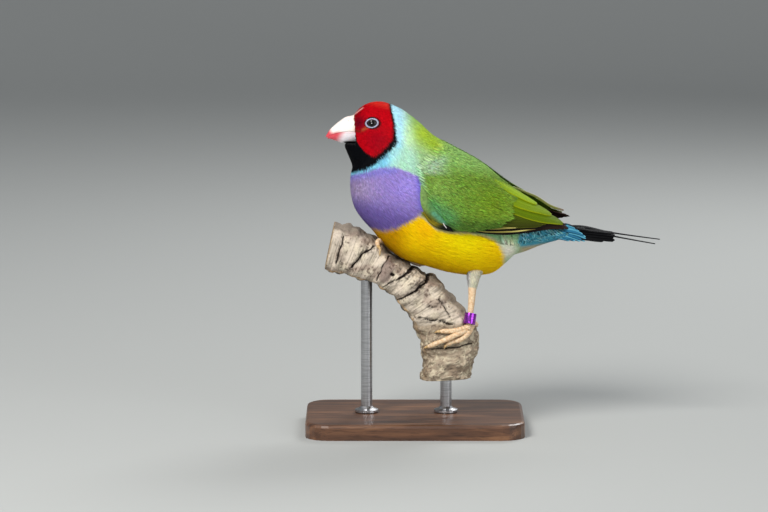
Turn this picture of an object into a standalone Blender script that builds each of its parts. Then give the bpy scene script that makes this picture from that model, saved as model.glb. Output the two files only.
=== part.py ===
"""A red-headed Gouldian finch, life size, perched on a cut length of a hollow log's rim.

The bird faces -X, up is +Z, and the origin is the centre of the display base's underside.
Sizes are millimetres until a mesh is made. Slices of the body, bill and wings are named rows
of real sizes; every feather is a thin vane laid on the surface that it grows from.
"""

import math

import bmesh
import bpy
from mathutils import Matrix, Vector
from mathutils.bvhtree import BVHTree

# Driving dimensions, in millimetres
MM = 0.001
GAP = 0.32
VANE_THICKNESS = 0.55
SLICE_POINTS = 24

# Slices of the body: name, dorsal point (x, z), ventral point (x, z), half width
BODY = [
    ("bill_root", (-23.8, 121.0), (-27.3, 110.2), 4.4),
    ("brow", (-20.8, 124.3), (-25.8, 106.5), 6.9),
    ("lores", (-17.3, 126.1), (-24.6, 103.7), 8.5),
    ("crown", (-13.1, 126.5), (-24.0, 101.3), 9.5),
    ("nape", (-9.0, 125.4), (-24.6, 98.7), 10.6),
    ("collar", (-4.2, 122.9), (-24.8, 95.0), 13.0),
    ("neck_foot", (1.2, 118.8), (-24.4, 90.4), 16.0),
    ("breast", (6.5, 113.8), (-22.9, 85.6), 18.2),
    ("shoulders", (12.3, 110.4), (-20.0, 81.3), 19.4),
    ("keel", (18.1, 107.3), (-16.3, 77.3), 19.9),
    ("mantle", (23.8, 104.2), (-11.2, 71.2), 19.3),
    ("back", (28.8, 100.6), (-4.6, 66.3), 18.9),
    ("flank", (33.5, 96.3), (3.8, 63.6), 18.0),
    ("loin", (37.7, 91.9), (13.1, 61.0), 16.6),
    ("thigh", (41.9, 87.7), (21.9, 59.9), 14.4),
    ("belly_end", (46.2, 84.4), (29.2, 60.6), 11.8),
    ("vent", (49.6, 82.1), (33.3, 63.8), 9.7),
    ("rump", (52.7, 80.4), (35.4, 66.7), 7.9),
    ("coverts", (55.8, 79.0), (41.9, 69.0), 6.3),
    ("tail_root", (58.8, 78.1), (48.8, 71.7), 5.2),
    ("tail_core", (62.3, 77.1), (55.0, 73.3), 4.0),
]
NECK_FROM = 4.15
TORSO_FROM = 5.9
RUMP_FROM = 16.7
BODY_END = 20.0
TORSO_STEPS = 14

# The surface that the folded wings share, over the body: rows as in BODY, from the breast back
WING_COAT = [
    ("breast", (6.5, 113.8), (-22.9, 85.6), 18.4),
    ("shoulders", (12.3, 110.8), (-20.0, 81.3), 20.0),
    ("keel", (18.1, 107.7), (-16.3, 77.3), 20.9),
    ("mantle", (23.8, 104.6), (-11.2, 71.2), 21.1),
    ("back", (28.8, 101.2), (-4.6, 66.3), 21.0),
    ("flank", (33.8, 97.4), (3.8, 63.6), 20.3),
    ("loin", (38.8, 93.6), (14.2, 61.2), 18.9),
    ("thigh", (43.8, 90.0), (25.8, 61.2), 16.6),
    ("belly_end", (48.5, 86.8), (35.8, 64.6), 13.8),
    ("vent", (52.3, 84.0), (44.2, 69.2), 11.0),
    ("rump", (55.8, 81.5), (51.2, 73.1), 8.4),
    ("tip", (58.5, 79.8), (56.5, 75.4), 6.2),
    ("past", (60.8, 78.5), (60.4, 76.9), 4.6),
]
WING_COAT_FIRST_SLICE = 7.0

UPPER_BILL = [
    ("inside", (-21.5, 122.2), (-20.4, 115.6), 4.5),
    ("base", (-24.2, 121.2), (-23.1, 115.5), 4.6),
    ("nostril", (-26.5, 120.7), (-25.4, 115.5), 4.0),
    ("middle", (-28.8, 119.2), (-28.1, 115.2), 3.2),
    ("fore", (-31.0, 117.4), (-30.2, 114.7), 2.35),
    ("hook", (-32.7, 115.7), (-32.1, 114.0), 1.5),
    ("near_tip", (-33.7, 114.2), (-33.3, 113.3), 0.8),
    ("tip", (-34.2, 113.2), (-34.1, 112.85), 0.25),
]
LOWER_BILL = [
    ("inside", (-20.4, 115.0), (-20.4, 110.9), 4.2),
    ("base", (-23.1, 115.0), (-22.9, 110.8), 4.3),
    ("gape", (-25.4, 115.0), (-25.6, 110.6), 3.7),
    ("middle", (-28.1, 114.7), (-28.5, 110.8), 2.8),
    ("fore", (-30.4, 114.1), (-30.6, 111.7), 1.9),
    ("near_tip", (-32.1, 113.45), (-32.3, 112.3), 1.1),
    ("tip", (-33.2, 112.8), (-33.2, 112.3), 0.4),
]
# The feathered face ends at this line in the side view, where the bill's bare base begins
FACE_LINE = [(-24.1, 122.6), (-23.9, 121.2), (-23.4, 116.4), (-22.9, 110.8)]
FACE_CUT_REACH = (-32.0, 9.0)

EYE_CENTRE = (-16.2, 6.75, 119.0)
EYE_RADIUS = 2.6
LID_HALF_LENGTH = 2.3
LID_HALF_HEIGHT = 1.6
LID_THICKNESS = 0.42
NOSTRIL_AT = (-25.4, 3.1, 119.3)
NOSTRIL_RADIUS = 0.55

# The log's rim: the hollow's centre, and radii of its outer and inner edge at angles round it
RIM_CENTRE = (-44.2, 17.3)
RIM_DEPTH = 24.0
RIM_RADII = [
    (78.0, 63.4, 45.4),
    (70.0, 64.0, 46.2),
    (62.0, 63.2, 46.9),
    (56.0, 61.7, 48.5),
    (50.0, 61.7, 49.2),
    (44.0, 63.8, 49.6),
    (38.0, 66.2, 49.6),
    (30.0, 67.7, 49.6),
    (20.0, 70.4, 49.2),
    (12.0, 70.0, 48.5),
    (3.0, 65.4, 46.9),
]
RIM_SQUARENESS = 2.6
# Cracks across the rim's face: the angle that each lies at, and its depth
RIM_FURROWS = [
    (75.0, 0.9),
    (65.4, 0.9),
    (56.3, 0.5),
    (48.3, 1.1),
    (42.0, 1.0),
    (27.5, 0.6),
    (9.5, 0.9),
]
RIM_FURROW_SLANT = 1.7
RIM_STEPS = 36
RIM_POINTS = 16

BASE_LENGTH = 84.0
BASE_WIDTH = 58.0
BASE_THICKNESS = 6.0
BASE_CORNER = 9.0
ROD_RADIUS = 2.2
ROD_FLANGE_RADIUS = 4.6
ROD_FLANGE_HEIGHT = 1.4
RODS = [("stand_rod_tall", -18.6, 62.0), ("stand_rod_short", 12.0, 22.5)]


# Small helpers for sections, meshes and joins
def clear_scene():
    for thing in list(bpy.data.objects):
        bpy.data.objects.remove(thing, do_unlink=True)


def material(name, colour, roughness, metallic=0.0):
    finish = bpy.data.materials.new(name)
    finish.use_nodes = True
    shader = finish.node_tree.nodes["Principled BSDF"]
    shader.inputs["Base Color"].default_value = (*colour, 1.0)
    shader.inputs["Roughness"].default_value = roughness
    shader.inputs["Metallic"].default_value = metallic
    return finish


def between(rows, place):
    """The numbers of a table at any place between its rows, on a smooth curve through them."""
    last = len(rows) - 1
    place = min(max(place, 0.0), float(last))
    first = min(int(place), last - 1)
    share = place - first
    a, b, c, d = (rows[min(max(k, 0), last)] for k in range(first - 1, first + 3))
    made = []
    for p0, p1, p2, p3 in zip(a, b, c, d):
        slope_in, slope_out = (p2 - p0) / 2, (p3 - p1) / 2
        made.append(
            (2 * share**3 - 3 * share**2 + 1) * p1
            + (share**3 - 2 * share**2 + share) * slope_in
            + (3 * share**2 - 2 * share**3) * p2
            + (share**3 - share**2) * slope_out
        )
    return made


def numbers(table):
    """Rows of name, dorsal point, ventral point and half width as plain rows of five numbers."""
    return [(*dorsal, *ventral, half) for _, dorsal, ventral, half in table]


class Hull:
    """A smooth body through named slices. A point has a place along it and an angle round it:
    90 degrees is dorsal, -90 ventral, 0 the left side at -Y and 180 the right side."""

    def __init__(self, table, first=0.0, fullness=0.86, sag=0.06, shelf=0):
        self.rows = numbers(table)
        self.first = first
        self.fullness = fullness
        self.sag = sag
        self.shelf = shelf

    def point(self, place, angle, lift=0.0):
        dx, dz, vx, vz, half = between(self.rows, place - self.first)
        turn = math.radians(angle)
        side, up = math.cos(turn), math.sin(turn)
        rise = up - self.sag * side * side
        if self.shelf:
            rise = self.shelf * max(1 - 2 * abs(up), -1.0) if up * self.shelf < 0 else self.shelf
        across = -half * math.copysign(abs(side) ** self.fullness, side)
        x = (dx + vx) / 2 + (dx - vx) / 2 * rise
        z = (dz + vz) / 2 + (dz - vz) / 2 * rise
        spot = Vector((x, across, z))
        return spot + self.normal(place, angle) * lift if lift else spot

    def normal(self, place, angle):
        step_place, step_angle = 0.02, 1.0
        last = self.first + len(self.rows) - 1
        low = max(place - step_place, self.first)
        high = min(place + step_place, last)
        along = self.point(high, angle) - self.point(low, angle)
        around = self.point(place, angle + step_angle) - self.point(place, angle - step_angle)
        return along.cross(around).normalized()

    def slice_normal(self, place):
        """Square to a slice, toward the next one."""
        dx, dz, vx, vz, _ = between(self.rows, place - self.first)
        square = Vector((dz - vz, 0.0, vx - dx)).normalized()
        first, last = self.rows[0], self.rows[-1]
        return square if last[0] > first[0] else -square

    def ring(self, place, shift=0.0, grow=0.0, count=SLICE_POINTS):
        """One slice as a closed ring, moved along the body and made larger all round."""
        away = self.slice_normal(place) * shift
        turns = [360.0 * k / count for k in range(count)]
        middle = (self.point(place, 90) + self.point(place, -90)) / 2
        ring = []
        for turn in turns:
            spot = self.point(place, turn)
            outward = spot - middle
            outward = outward.normalized() if outward.length > 1e-6 else outward
            ring.append(spot + outward * grow + away)
        return ring


def mesh_object(name, points, faces, finish=None):
    mesh = bpy.data.meshes.new(name)
    mesh.from_pydata([tuple(p * MM for p in spot) for spot in points], [], faces)
    mesh.update()
    made = bpy.data.objects.new(name, mesh)
    bpy.context.scene.collection.objects.link(made)
    if finish:
        mesh.materials.append(finish)
    return made


def recalculate(thing):
    work = bmesh.new()
    work.from_mesh(thing.data)
    bmesh.ops.recalc_face_normals(work, faces=work.faces)
    work.to_mesh(thing.data)
    work.free()
    return thing


def loft(name, rings, finish=None):
    """A closed solid through rings of equally many points, with a flat cap on each end."""
    count = len(rings[0])
    points = [spot for ring in rings for spot in ring]
    faces = [tuple(reversed(range(count))), tuple((len(rings) - 1) * count + k for k in range(count))]
    for r in range(len(rings) - 1):
        for k in range(count):
            here, there = r * count, (r + 1) * count
            after = (k + 1) % count
            faces.append((here + k, here + after, there + after, there + k))
    return recalculate(mesh_object(name, points, faces, finish))


def tube(name, spots, radii, sides=8, flatten=1.0, finish=None, grow=0.0):
    """A round, tapering limb through points, such as a toe. flatten squashes it vertically."""
    rings = []
    for k, spot in enumerate(spots):
        ahead = spots[min(k + 1, len(spots) - 1)] - spots[max(k - 1, 0)]
        ahead.normalize()
        side = ahead.cross(Vector((0, 0, 1)))
        side = side.normalized() if side.length > 0.2 else Vector((0, 1, 0))
        up = side.cross(ahead).normalized()
        reach = radii[k] + grow
        end = grow if k in (0, len(spots) - 1) else 0.0
        base = spot + ahead * (end if k else -end)
        rings.append(
            [
                base
                + side * (reach * math.cos(2 * math.pi * n / sides))
                + up * (reach * flatten * math.sin(2 * math.pi * n / sides))
                for n in range(sides)
            ]
        )
    return loft(name, rings, finish)


def smooth_path(points, count):
    rows = [tuple(p) for p in points]
    last = len(rows) - 1
    return [Vector(between(rows, last * k / (count - 1))) for k in range(count)]


def vane(stations, thickness=VANE_THICKNESS, camber=0.0, grow=0.0):
    """One feather as a thin closed slab. Each station is its centre, its outward direction and
    the widths on its two sides. Both faces are split into triangles along the same diagonals."""
    points, faces = [], []
    last = len(stations) - 1
    for k, (centre, outward, left, right) in enumerate(stations):
        ahead = stations[min(k + 1, last)][0] - stations[max(k - 1, 0)][0]
        ahead.normalize()
        across = ahead.cross(outward).normalized()
        centre = centre + ahead * (grow if k == last else -grow if k == 0 else 0.0)
        thin = thickness * (1.0 if k < last else 0.6)
        for level in (thin / 2 + grow, -thin / 2 - grow):
            for reach in (-left - grow, 0.0, right + grow):
                droop = camber * (abs(reach) / max(left, right, 0.1)) ** 2
                points.append(centre + across * reach + outward * (level - droop))
    for k in range(last):
        here, there = 6 * k, 6 * (k + 1)
        for column in (0, 1):
            for shelf in (0, 3):
                a, b = here + shelf + column, here + shelf + column + 1
                c, d = there + shelf + column + 1, there + shelf + column
                pair = [(a, b, c), (a, c, d)]
                faces += pair if shelf == 0 else [tuple(reversed(f)) for f in pair]
        for top, low in ((0, 3), (2, 5)):
            a, b, c, d = here + top, there + top, there + low, here + low
            pair = [(a, b, c), (a, c, d)]
            faces += pair if top == 0 else [tuple(reversed(f)) for f in pair]
    for start, flip in ((0, False), (6 * last, True)):
        for column in (0, 1):
            a, b = start + column, start + column + 1
            c, d = start + column + 4, start + column + 3
            pair = [(a, d, c), (a, c, b)]
            faces += [tuple(reversed(f)) for f in pair] if flip else pair
    return recalculate(mesh_object("vane", points, faces))


def select_only(thing):
    for other in bpy.context.selected_objects:
        other.select_set(False)
    bpy.context.view_layer.objects.active = thing
    thing.select_set(True)


def move_to(thing, group):
    for old in list(thing.users_collection):
        old.objects.unlink(thing)
    group.objects.link(thing)


def collection(name):
    if name not in bpy.data.collections:
        bpy.context.scene.collection.children.link(bpy.data.collections.new(name))
    return bpy.data.collections[name]


def boolean(thing, others, operation, solver="MANIFOLD"):
    """Joins or cuts a solid with a collection of closed solids, which are then removed."""
    group = collection("cutters")
    for other in others:
        other.display_type = "WIRE"
        other.hide_render = True
        move_to(other, group)
    step = thing.modifiers.new("step", "BOOLEAN")
    step.operation = operation
    step.operand_type = "COLLECTION"
    step.collection = group
    step.solver = solver
    select_only(thing)
    bpy.ops.object.modifier_apply(modifier=step.name)
    for other in list(group.objects):
        bpy.data.objects.remove(other, do_unlink=True)
    return thing


def keep_largest(thing):
    """Keeps a node's one largest closed surface, and drops any scrap that a cut left."""
    work = bmesh.new()
    work.from_mesh(thing.data)
    unseen = set(work.verts)
    islands = []
    while unseen:
        front = [unseen.pop()]
        island = set(front)
        while front:
            for edge in front.pop().link_edges:
                for near in edge.verts:
                    if near in unseen:
                        unseen.discard(near)
                        island.add(near)
                        front.append(near)
        islands.append(island)

    def size(island):
        low = Vector(min(v.co[k] for v in island) for k in range(3))
        high = Vector(max(v.co[k] for v in island) for k in range(3))
        return (high - low).length

    islands.sort(key=size)
    for island in islands[:-1]:
        bmesh.ops.delete(work, geom=list(island), context="VERTS")
    work.to_mesh(thing.data)
    work.free()
    return thing


def finish_node(thing, name, finish, smooth_angle=38.0):
    thing.name = name
    thing.data.name = name
    thing.data.materials.clear()
    thing.data.materials.append(finish)
    move_to(thing, collection("gouldian_finch"))
    keep_largest(thing)
    thing.data.shade_smooth()
    thing.data.set_sharp_from_angle(angle=math.radians(smooth_angle))
    return thing


# The body, modelled whole and parted with thin cuts across it
BODY_HULL = Hull(BODY)
COAT_HULL = Hull(WING_COAT, first=WING_COAT_FIRST_SLICE, sag=0.0)


def body_length(name, start, end, steps, grow=0.0, count=SLICE_POINTS):
    """A length of the body between two places, its ends half a gap short of the cuts."""
    places = [start + (end - start) * k / steps for k in range(steps + 1)]
    rings = []
    for k, place in enumerate(places):
        shift = 0.0
        if k == 0:
            shift = GAP / 2 - grow if start > 0 else -grow
        if k == steps:
            shift = -GAP / 2 + grow if end < BODY_END else grow
        rings.append(BODY_HULL.ring(place, shift, grow, count))
    return loft(name, rings)


def bill_half(name, table, grow=0.0):
    """One half of the bill: flat and widest along the mouth line, rounded above or below it."""
    hull = Hull(table, fullness=0.9, shelf=-1 if table is UPPER_BILL else 1)
    last = len(table) - 1
    steps = 11
    rings = []
    for k in range(steps + 1):
        shift = -grow if k == 0 else grow if k == steps else 0.0
        rings.append(hull.ring(last * k / steps, shift, grow)[::2])
    return loft(name, rings)


def eyelid(side, grow=0.0):
    """The bare ring of lid round an eye, an oval torus set on the head."""
    bpy.ops.mesh.primitive_torus_add(major_segments=18, minor_segments=5, major_radius=1.0, minor_radius=0.2)
    ring = bpy.context.object
    x, y, z = EYE_CENTRE
    centre = Vector((x, side * y, z))
    outward = Vector((-0.16, side, 0.1)).normalized()
    forward = Vector((-1, 0, -0.12)) - outward * Vector((-1, 0, -0.12)).dot(outward)
    forward.normalize()
    up = outward.cross(forward)
    spot = centre + outward * (EYE_RADIUS * 0.72)
    for vertex in ring.data.vertices:
        flat = Vector((vertex.co.x, vertex.co.y, 0))
        direction = flat.normalized()
        offset = flat.length - 1.0
        oval = forward * (direction.x * LID_HALF_LENGTH) + up * (direction.y * LID_HALF_HEIGHT)
        outer = forward * direction.x + up * direction.y
        reach = (LID_THICKNESS + grow) / 0.2
        vertex.co = (spot + oval + outer * offset * reach + outward * vertex.co.z * reach) * MM
    return recalculate(ring)


def ball(radius, centre, segments=24, rings=14):
    bpy.ops.mesh.primitive_uv_sphere_add(
        segments=segments,
        ring_count=rings,
        radius=radius * MM,
        location=[c * MM for c in centre],
        rotation=(math.pi / 2, 0, 0),
    )
    made = bpy.context.object
    made.data.transform(made.matrix_world)
    made.matrix_world = Matrix.Identity(4)
    return made


def face_cutter():
    """Clears the head ahead of the face's line and above the chin, so that the bill's base is bare."""
    front, side = FACE_CUT_REACH
    outline = [(front, FACE_LINE[0][1]), *FACE_LINE, (front, FACE_LINE[-1][1] - 0.3)]
    rings = [[Vector((x, y, z)) for x, z in outline] for y in (-side, side)]
    return loft("cutter", rings)


def make_head(finish):
    head = body_length("head", 0.0, NECK_FROM, 9)
    bill_hollows = [bill_half("cutter", table, GAP) for table in (UPPER_BILL, LOWER_BILL)]
    boolean(head, [*bill_hollows, face_cutter()], "DIFFERENCE")
    boolean(head, [eyelid(-1), eyelid(1)], "UNION")
    x, y, z = EYE_CENTRE
    boolean(head, [ball(EYE_RADIUS + GAP, (x, side * y, z), 16, 10) for side in (-1, 1)], "DIFFERENCE")
    return finish_node(head, "head", finish)


def make_eye(name, side, finish):
    x, y, z = EYE_CENTRE
    return finish_node(ball(EYE_RADIUS, (x, side * y, z), 14, 9), name, finish)


def make_bill(finish):
    upper = bill_half("bill_upper", UPPER_BILL)
    x, y, z = NOSTRIL_AT
    boolean(upper, [ball(NOSTRIL_RADIUS, (x, side * y, z), 10, 6) for side in (-1, 1)], "DIFFERENCE")
    finish_node(upper, "bill_upper", finish)
    finish_node(bill_half("bill_lower", LOWER_BILL), "bill_lower", finish)


# Feathers that are laid on a hull: a path of places and angles, a width and a height over it
def laid_vane(hull, path, inner, outer, lifts, side=-1, segments=4, tip=0.25, camber=0.15, grow=0.0):
    """A feather lying on a hull. inner and outer are its widths beside the shaft."""
    stations = []
    for k in range(segments + 1):
        share = (k / segments) ** 0.8
        place, angle = between(path, share * (len(path) - 1))
        lift = lifts[0] + (lifts[1] - lifts[0]) * share
        spot = hull.point(place, angle, lift)
        outward = hull.normal(place, angle)
        spread = (0.55 + 0.45 * min(share / 0.45, 1.0)) * math.sqrt(1 - (1 - tip) * share**4)
        spread *= 1.0 if k < segments else 0.5
        if side > 0:
            spot.y, outward.y = -spot.y, -outward.y
        wide_up, wide_down = inner * spread, outer * spread
        pair = (wide_down, wide_up) if side < 0 else (wide_up, wide_down)
        stations.append((spot, outward, *pair))
    return vane(stations, camber=camber, grow=grow)


# Wing feathers: root place and angle, tip place and angle, width above and below the shaft,
# heights at root and tip over the coat surface
def primaries():
    made = []
    for k in range(5):
        tip_place = (17.6, 18.3, 18.7, 18.3, 17.6)[k]
        path = [(11.6, 2.0 + 3.0 * k), (14.8, 7.0 + 4.5 * k), (tip_place, 20.0 + 11.0 * k)]
        made.append((path, 1.5, 1.2, (-1.75 + 0.24 * k, -1.5 + 0.2 * k)))
    return made


def secondaries():
    made = []
    for k in range(4):
        path = [(11.4, 10.0 + 8.0 * k), (14.2, 13.0 + 9.0 * k), (15.6 + 0.35 * k, 24.0 + 11.0 * k)]
        made.append((path, 2.3, 1.7, (-0.95 + 0.2 * k, -0.75 + 0.2 * k)))
    return made


def tertials():
    return [
        ([(11.5, 44.0), (14.4, 49.0), (17.5, 72.0)], 3.2, 3.0, (-0.5, 0.0)),
        ([(11.5, 56.0), (13.8, 61.0), (15.9, 74.0)], 2.9, 3.0, (-0.4, 0.3)),
        ([(11.5, 66.0), (13.0, 70.0), (14.6, 76.0)], 2.4, 2.8, (-0.3, 0.5)),
    ]


def greater_coverts():
    """A row of rounded coverts across the wing, each with its tip free over the flight feathers."""
    made = []
    count = 7
    for k in range(count):
        share = k / (count - 1)
        angle = 2.0 + 66.0 * share
        tip_place = 13.2 + 0.6 * math.sin(math.pi * min(share * 1.1 + 0.1, 1.0))
        path = [(11.3, angle), (12.5, angle), (tip_place, angle + 1.0)]
        made.append((path, 2.5, 2.5, (-0.6, 0.4 + 0.3 * (k % 2))))
    return made


def primary_coverts():
    made = []
    for k in range(3):
        path = [(9.6 + 0.3 * k, -8.5 + k), (10.8 + 0.3 * k, -9.5 + k), (12.1 + 0.4 * k, -7.0 + 1.5 * k)]
        made.append((path, 1.3, 1.1, (-0.5, -0.1)))
    return made


# Slices of the wing's covert mass: place, lowest and highest angle, height over the coat surface
WING_BASE = [
    (8.9, 12, 36, -0.6),
    (9.2, -1, 48, -0.2),
    (9.8, -7, 60, 0.0),
    (10.6, -9, 69, 0.1),
    (11.5, -7, 75, 0.1),
    (12.2, -2, 77, -0.1),
    (12.6, 4, 74, -0.6),
]


def wing_base(side, grow=0.0):
    """The shoulder and covert mass: a patch of the coat surface, thickened down into the body."""
    columns = 8
    rings = []
    for row, (place, low, high, rise) in enumerate(WING_BASE):
        place += {0: -0.3 * grow, len(WING_BASE) - 1: 0.3 * grow}.get(row, 0.0)
        low, high = low - 4.0 * grow, high + 4.0 * grow
        top, bottom = [], []
        for c in range(columns):
            share = c / (columns - 1)
            angle = low + (high - low) * share
            rolled = 1.1 * abs(2 * share - 1) ** 5
            top.append(COAT_HULL.point(place, angle, rise - rolled + grow))
            bottom.append(COAT_HULL.point(place, angle, -3.2 - grow))
        ring = top + list(reversed(bottom))
        if side > 0:
            ring = [Vector((p.x, -p.y, p.z)) for p in ring]
        rings.append(ring)
    return loft("wing_base", rings)


WING_TIERS = [
    (primaries, 4),
    (secondaries, 3),
    (tertials, 4),
    (greater_coverts, 3),
    (primary_coverts, 3),
]


def wing_pieces(side, grow=0.0):
    made = []
    for tier, segments in WING_TIERS:
        for path, inner, outer, lifts in tier():
            made.append(laid_vane(COAT_HULL, path, inner, outer, lifts, side, segments, grow=grow))
    return made


RIGHT_WING_RAISE = 1.3
WING_PIVOT = (6.0, 0.0, 98.0)


def raise_wing(thing):
    """The right wing is carried a little higher at its tip, as in the photo."""
    pivot = Vector(WING_PIVOT) * MM
    turn = Matrix.Rotation(-math.radians(RIGHT_WING_RAISE), 4, "Y")
    thing.data.transform(Matrix.Translation(pivot) @ turn @ Matrix.Translation(-pivot))
    return thing


def joined(pieces, name="joined"):
    first = pieces[0]
    first.name = name
    return boolean(first, pieces[1:], "UNION")


def whole_wing(side, grow=0.0, cutters=()):
    """The feathers are cut clear of the body first. The covert mass lies in a pocket of the torso."""
    feathers = joined(wing_pieces(side, grow))
    if side > 0:
        raise_wing(feathers)
    if cutters:
        boolean(feathers, cutters, "DIFFERENCE")
    base = wing_base(side, grow)
    if side > 0:
        raise_wing(base)
    return boolean(base, [feathers], "UNION")


# Rump with its coverts, and the tail
def tail_coverts(grow=0.0):
    """Blue feathers in two tiers over the tail's root, and white ones below it."""
    made = []
    for side in (-1, 1):
        for start, end, angles in ((17.05, 18.8, (26, 64)), (18.1, 19.85, (12, 48))):
            for angle in angles:
                path = [(start, angle + 3.0), ((start + end) / 2, angle), (end, angle - 5.0)]
                made.append(laid_vane(BODY_HULL, path, 2.1, 2.1, (-0.7, 0.45), side, 3, grow=grow))
        for angle in (-24, -58):
            path = [(17.1, angle), (18.0, angle), (19.6, angle + 4.0)]
            made.append(laid_vane(BODY_HULL, path, 2.2, 2.2, (-0.7, 0.4), side, 3, grow=grow))
    return made


def whole_rump(grow=0.0):
    return boolean(body_length("rump", RUMP_FROM, BODY_END, 5, grow, 16), tail_coverts(grow), "UNION")


TAIL_ROOT = (52.0, 0.0, 77.5)
TAIL_ARCH = 0.9
# Each pair of tail feathers: tip x, tip z, how far out its tip lies, half width, roof angle
TAIL_PAIRS = [
    (76.0, 76.1, 1.5, 2.0, 10.0),
    (76.8, 75.4, 2.3, 2.0, 18.0),
    (76.2, 74.6, 3.0, 2.0, 27.0),
    (76.6, 73.6, 3.6, 2.0, 36.0),
    (72.6, 73.6, 4.1, 1.9, 45.0),
]
# The two long middle feathers: points of the shaft (x, y, z), and half width there
LONG_FEATHERS = {
    "left": [
        (54, -0.6, 77.3, 1.6),
        (64, -0.9, 77.7, 1.9),
        (74, -1.0, 75.3, 1.2),
        (84, -1.1, 73.3, 0.5),
        (92.3, -1.2, 71.8, 0.26),
    ],
    "right": [
        (54, 0.7, 78.1, 1.6),
        (64, 1.0, 78.4, 1.9),
        (74, 1.2, 76.2, 1.2),
        (84, 1.3, 74.6, 0.5),
        (94.2, 1.3, 73.2, 0.26),
    ],
}


def tail_feathers(grow=0.0):
    made = []
    root = Vector(TAIL_ROOT)
    for side in (-1, 1):
        for k, (tip_x, tip_z, out, half, roof) in enumerate(TAIL_PAIRS):
            start = root + Vector((0, side * (0.6 + 0.45 * k), -0.42 * (k + 1)))
            end = Vector((tip_x, side * out, tip_z))
            lean = Vector((0, side * math.sin(math.radians(roof)), math.cos(math.radians(roof))))
            stations = []
            for n in range(4):
                share = (0.0, 0.4, 0.8, 1.0)[n]
                spot = start.lerp(end, share) + Vector((0, 0, TAIL_ARCH * math.sin(math.pi * share)))
                spread = (0.7, 1.0, 0.9, 0.2)[n] * half
                stations.append((spot, lean, spread, spread))
            made.append(vane(stations, grow=grow))
    for points in LONG_FEATHERS.values():
        rows = smooth_path([p[:3] for p in points], 7)
        widths = [between([(p[3],) for p in points], (len(points) - 1) * k / 6)[0] for k in range(7)]
        stations = [(spot, Vector((0, 0, 1)), w, w) for spot, w in zip(rows, widths)]
        made.append(vane(stations, thickness=0.6, grow=grow))
    return made


# Slices of the tail's fleshy root: x, z, half height, half width
TAIL_CORE = [(50.5, 75.9, 1.2, 2.4), (54, 76.1, 2.0, 3.2), (60, 76.2, 2.0, 3.4), (65.5, 76.2, 1.5, 3.0)]


def tail_core(grow=0.0):
    """The fleshy root that all tail feathers grow from, ahead of the rump's last slice."""
    rings = []
    for x, z, high, wide in TAIL_CORE:
        end = -grow if x == TAIL_CORE[0][0] else grow if x == TAIL_CORE[-1][0] else 0.0
        rings.append(
            [
                Vector((x + end, (wide + grow) * math.cos(a), z + (high + grow) * math.sin(a)))
                for a in (2 * math.pi * n / 12 for n in range(12))
            ]
        )
    return loft("tail", rings)


def whole_tail(grow=0.0):
    return boolean(tail_core(grow), tail_feathers(grow), "UNION")


# The log's rim that the bird grips
def rim_radii(angle):
    """Outer and inner radius at an angle round the hollow."""
    table = [(outer, inner) for _, outer, inner in RIM_RADII]
    angles = [a for a, _, _ in RIM_RADII]
    for k in range(len(angles) - 1):
        if angles[k] >= angle >= angles[k + 1]:
            return between(table, k + (angles[k] - angle) / (angles[k] - angles[k + 1]))
    return table[0] if angle > angles[0] else table[-1]


def rim_point(angle, turn, lift=0.0):
    """A point of the rim: angle round the hollow, turn round its section (0 outside, 90 front)."""
    outer, inner = rim_radii(angle)
    middle, half = (outer + inner) / 2, (outer - inner) / 2
    a, t = math.radians(angle), math.radians(turn)
    c, s = math.cos(t), math.sin(t)
    power = 2.0 / RIM_SQUARENESS
    furrow = 0.0
    for at, deep in RIM_FURROWS:
        slant = at - RIM_FURROW_SLANT * c
        furrow += deep * math.exp(-(((angle - slant) / 1.1) ** 2))
    ripple = 0.35 * math.sin(0.55 * angle + 2.2 * t) + 0.25 * math.sin(1.3 * angle - 3.1 * t)
    swell = lift - furrow * max(0.0, 0.4 + 0.6 * s) + ripple
    out = math.copysign(abs(c) ** power, c) * (half + swell)
    front = math.copysign(abs(s) ** power, s) * (RIM_DEPTH / 2 + swell)
    radius = middle + out
    return Vector((RIM_CENTRE[0] + radius * math.cos(a), -front, RIM_CENTRE[1] + radius * math.sin(a)))


def rim_solid(grow=0.0):
    first, last = RIM_RADII[0][0], RIM_RADII[-1][0]
    rings = []
    for k in range(RIM_STEPS + 1):
        angle = first + (last - first) * k / RIM_STEPS
        ring = [rim_point(angle, 360.0 * n / RIM_POINTS, grow) for n in range(RIM_POINTS)]
        if grow and k in (0, RIM_STEPS):
            a = math.radians(angle)
            away = Vector((-math.sin(a), 0, math.cos(a))) * (grow if k == 0 else -grow)
            ring = [p + away for p in ring]
        rings.append(ring)
    return loft("perch_log_rim", rings)


def rim_spot(x, z, lift, front=True):
    """The point of the rim's face that lies straight behind a place in the side view."""
    dx, dz = x - RIM_CENTRE[0], z - RIM_CENTRE[1]
    angle, radius = math.degrees(math.atan2(dz, dx)), math.hypot(dx, dz)
    low, high = (1.0, 179.0) if front else (-179.0, -1.0)
    for _ in range(40):
        turn = (low + high) / 2
        spot = rim_point(angle, turn)
        reach = math.hypot(spot.x - RIM_CENTRE[0], spot.z - RIM_CENTRE[1])
        nearer_outside = reach > radius
        if front:
            low, high = (turn, high) if nearer_outside else (low, turn)
        else:
            low, high = (low, turn) if nearer_outside else (turn, high)
    return rim_point(angle, turn, lift)


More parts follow.
